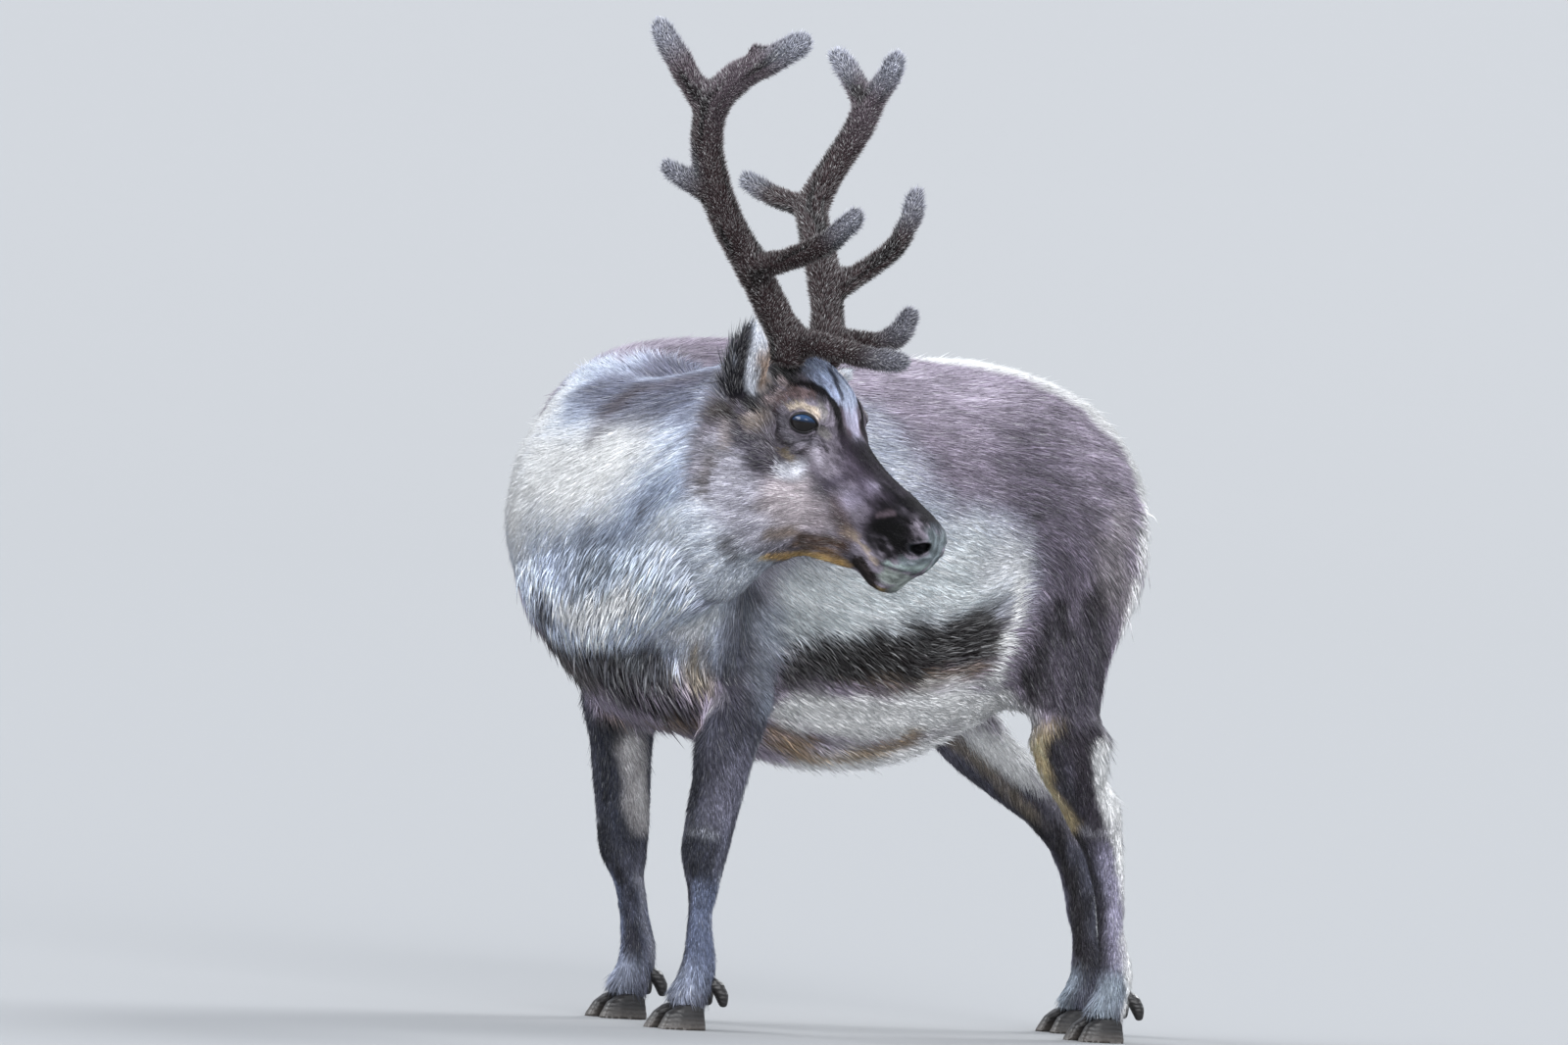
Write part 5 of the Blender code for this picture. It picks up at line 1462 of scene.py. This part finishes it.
    # Each tuft runs from a darker root to a paler tip: partly the hair's own dark roots and pale ends,
    # partly painted shade where tufts cover one another and a painted rim of light at the tips.
    pale_tips_and_painted_rim = hide_of["pale_tips_and_painted_rim"] * (shade + frost * (FROST - shade))
    root_with_painted_shade = hide_of["dark_roots_and_painted_shade"] * shade
    paint_all = root_with_painted_shade[:, None, :] + reach[None, :, None] * (pale_tips_and_painted_rim - root_with_painted_shade)[:, None, :]
    paint_all = np.clip(paint_all, 0.002, 0.95)
    layer = mesh.color_attributes.new("coat_colour", "FLOAT_COLOR", "POINT")
    flat = np.concatenate((paint_all, np.ones((*paint_all.shape[:2], 1))), axis=2)
    layer.data.foreach_set("color", flat.astype(np.float32).ravel())

    centre = np.einsum("ij,ijk->ik", mix, layout[face])
    centre = np.clip(centre, PATCH / 2, 1 - PATCH / 2)
    spread = np.stack((reach - 0.5, aside), axis=1) * PATCH
    places = (centre[:, None, :] + spread[None]).reshape(-1, 2)
    bake_map = mesh.uv_layers.new(name="OFBake")
    bake_map.data.foreach_set("uv", places[all_faces.ravel()].astype(np.float32).ravel())
    mesh.materials.append(hair_finish)
    piece = bpy.data.objects.new(name, mesh)
    bpy.context.scene.collection.objects.link(piece)
    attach(piece, "root")


bare_places = np.minimum.reduce((
    rise(eye_past, 0.12, 0.30), rise(nostril_in, 1.0, 1.4), rise(face_out, 0.0010, 0.0030),
))
# The coat's tufts take darker roots and paler tips: dark roots and pale ends of the hair, with painted
# shade between the tufts and a painted rim of light at the tips.
hide_of_body = {
    "points": hide, "faces": hide_faces, "normals": normals, "lie": lie, "colour": colour,
    "hair": hair, "cover": bare_places, "lift": 0.19, "long": False, "strays": 0.012,
    "dark_roots_and_painted_shade": 0.60, "pale_tips_and_painted_rim": 1.32, "frost": 0.07, "vary": 0.34,
}
face_shares = shares[hide_faces].mean(axis=1)
kind = face_shares.argmax(axis=1)
face_body = body[hide_faces].mean(axis=1)
face_hair = hair[hide_faces].mean(axis=1)
region = {name: kind == i for i, name in enumerate(REGIONS)}
trunk_like = region["trunk"] | region["neck"]
long_here = trunk_like & (face_hair > LONG_HAIR)
short_here = trunk_like & ~long_here
left = face_body[:, 0] > 0
y = face_body[:, 1]
parts = {
    "coat_face": region["head"] & (face_hair < 0.0095),
    "coat_cheeks": region["head"] & (face_hair >= 0.0095),
    "coat_ears": region["ear_left"] | region["ear_right"],
    "coat_mane": long_here & region["neck"],
    "coat_chest": long_here & region["trunk"] & (y < -0.15),
    "coat_belly": long_here & region["trunk"] & (y >= -0.15),
    "coat_tail": region["tail"],
}
for leg in LEGS:
    parts[f"coat_{leg}"] = region[leg]
neck_inner = inner[hide_faces].mean(axis=1) > 0
parts["coat_neck_outer"] = short_here & region["neck"] & ~neck_inner
parts["coat_neck_inner"] = short_here & region["neck"] & neck_inner
STRETCHES = {"shoulder": (-1, -0.20), "ribs": (-0.20, 0.02), "flank": (0.02, 0.20), "haunch": (0.20, 1)}
for word, (low, high) in STRETCHES.items():
    for side_name, own_side in (("left", left), ("right", ~left)):
        parts[f"coat_{word}_{side_name}"] = (
            short_here & region["trunk"] & own_side & (y >= low) & (y < high)
        )
for number, (name, chosen) in enumerate(parts.items()):
    bundle = dict(hide_of_body)
    bundle["long"] = name in ("coat_mane", "coat_chest", "coat_belly", "coat_tail")
    width = 0.0168
    if "neck" in name or "shoulder" in name:
        width = 0.0140
        bundle.update({"vary": 0.24})
    if bundle["long"]:
        width = 0.0190
        bundle.update({"lift": 0.24, "vary": 0.28, "dark_roots_and_painted_shade": 0.63})
    if name == "coat_face":
        bundle.update({"frost": 0.006, "dark_roots_and_painted_shade": 0.72, "pale_tips_and_painted_rim": 1.12, "lift": 0.16})
        width = 0.0190
    if name in ("coat_cheeks", "coat_ears"):
        width = 0.0185
        bundle.update({"frost": 0.05})
    if "leg" in name:
        width = 0.0180
        bundle.update({"frost": 0.045})
    tufted(name, bundle, chosen, width, number)
# As on the body, the velvet's tufts are darkened at the root and paled at the tip: painted shade between
# them and a painted rim of light.
for number, (word, bundle) in enumerate(velvet_hides.items()):
    bundle.update({
        "lift": 0.85, "long": False, "dark_roots_and_painted_shade": 0.45, "pale_tips_and_painted_rim": 1.30, "frost": 0.09, "strays": 0.0,
        "vary": 0.34,
    })
    bundle["cover"] = np.full(len(bundle["points"]), 0.75)
    everywhere = np.ones(len(bundle["faces"]), bool)
    tufted(f"velvet_{word}", bundle, everywhere, 0.030, 100 + number)
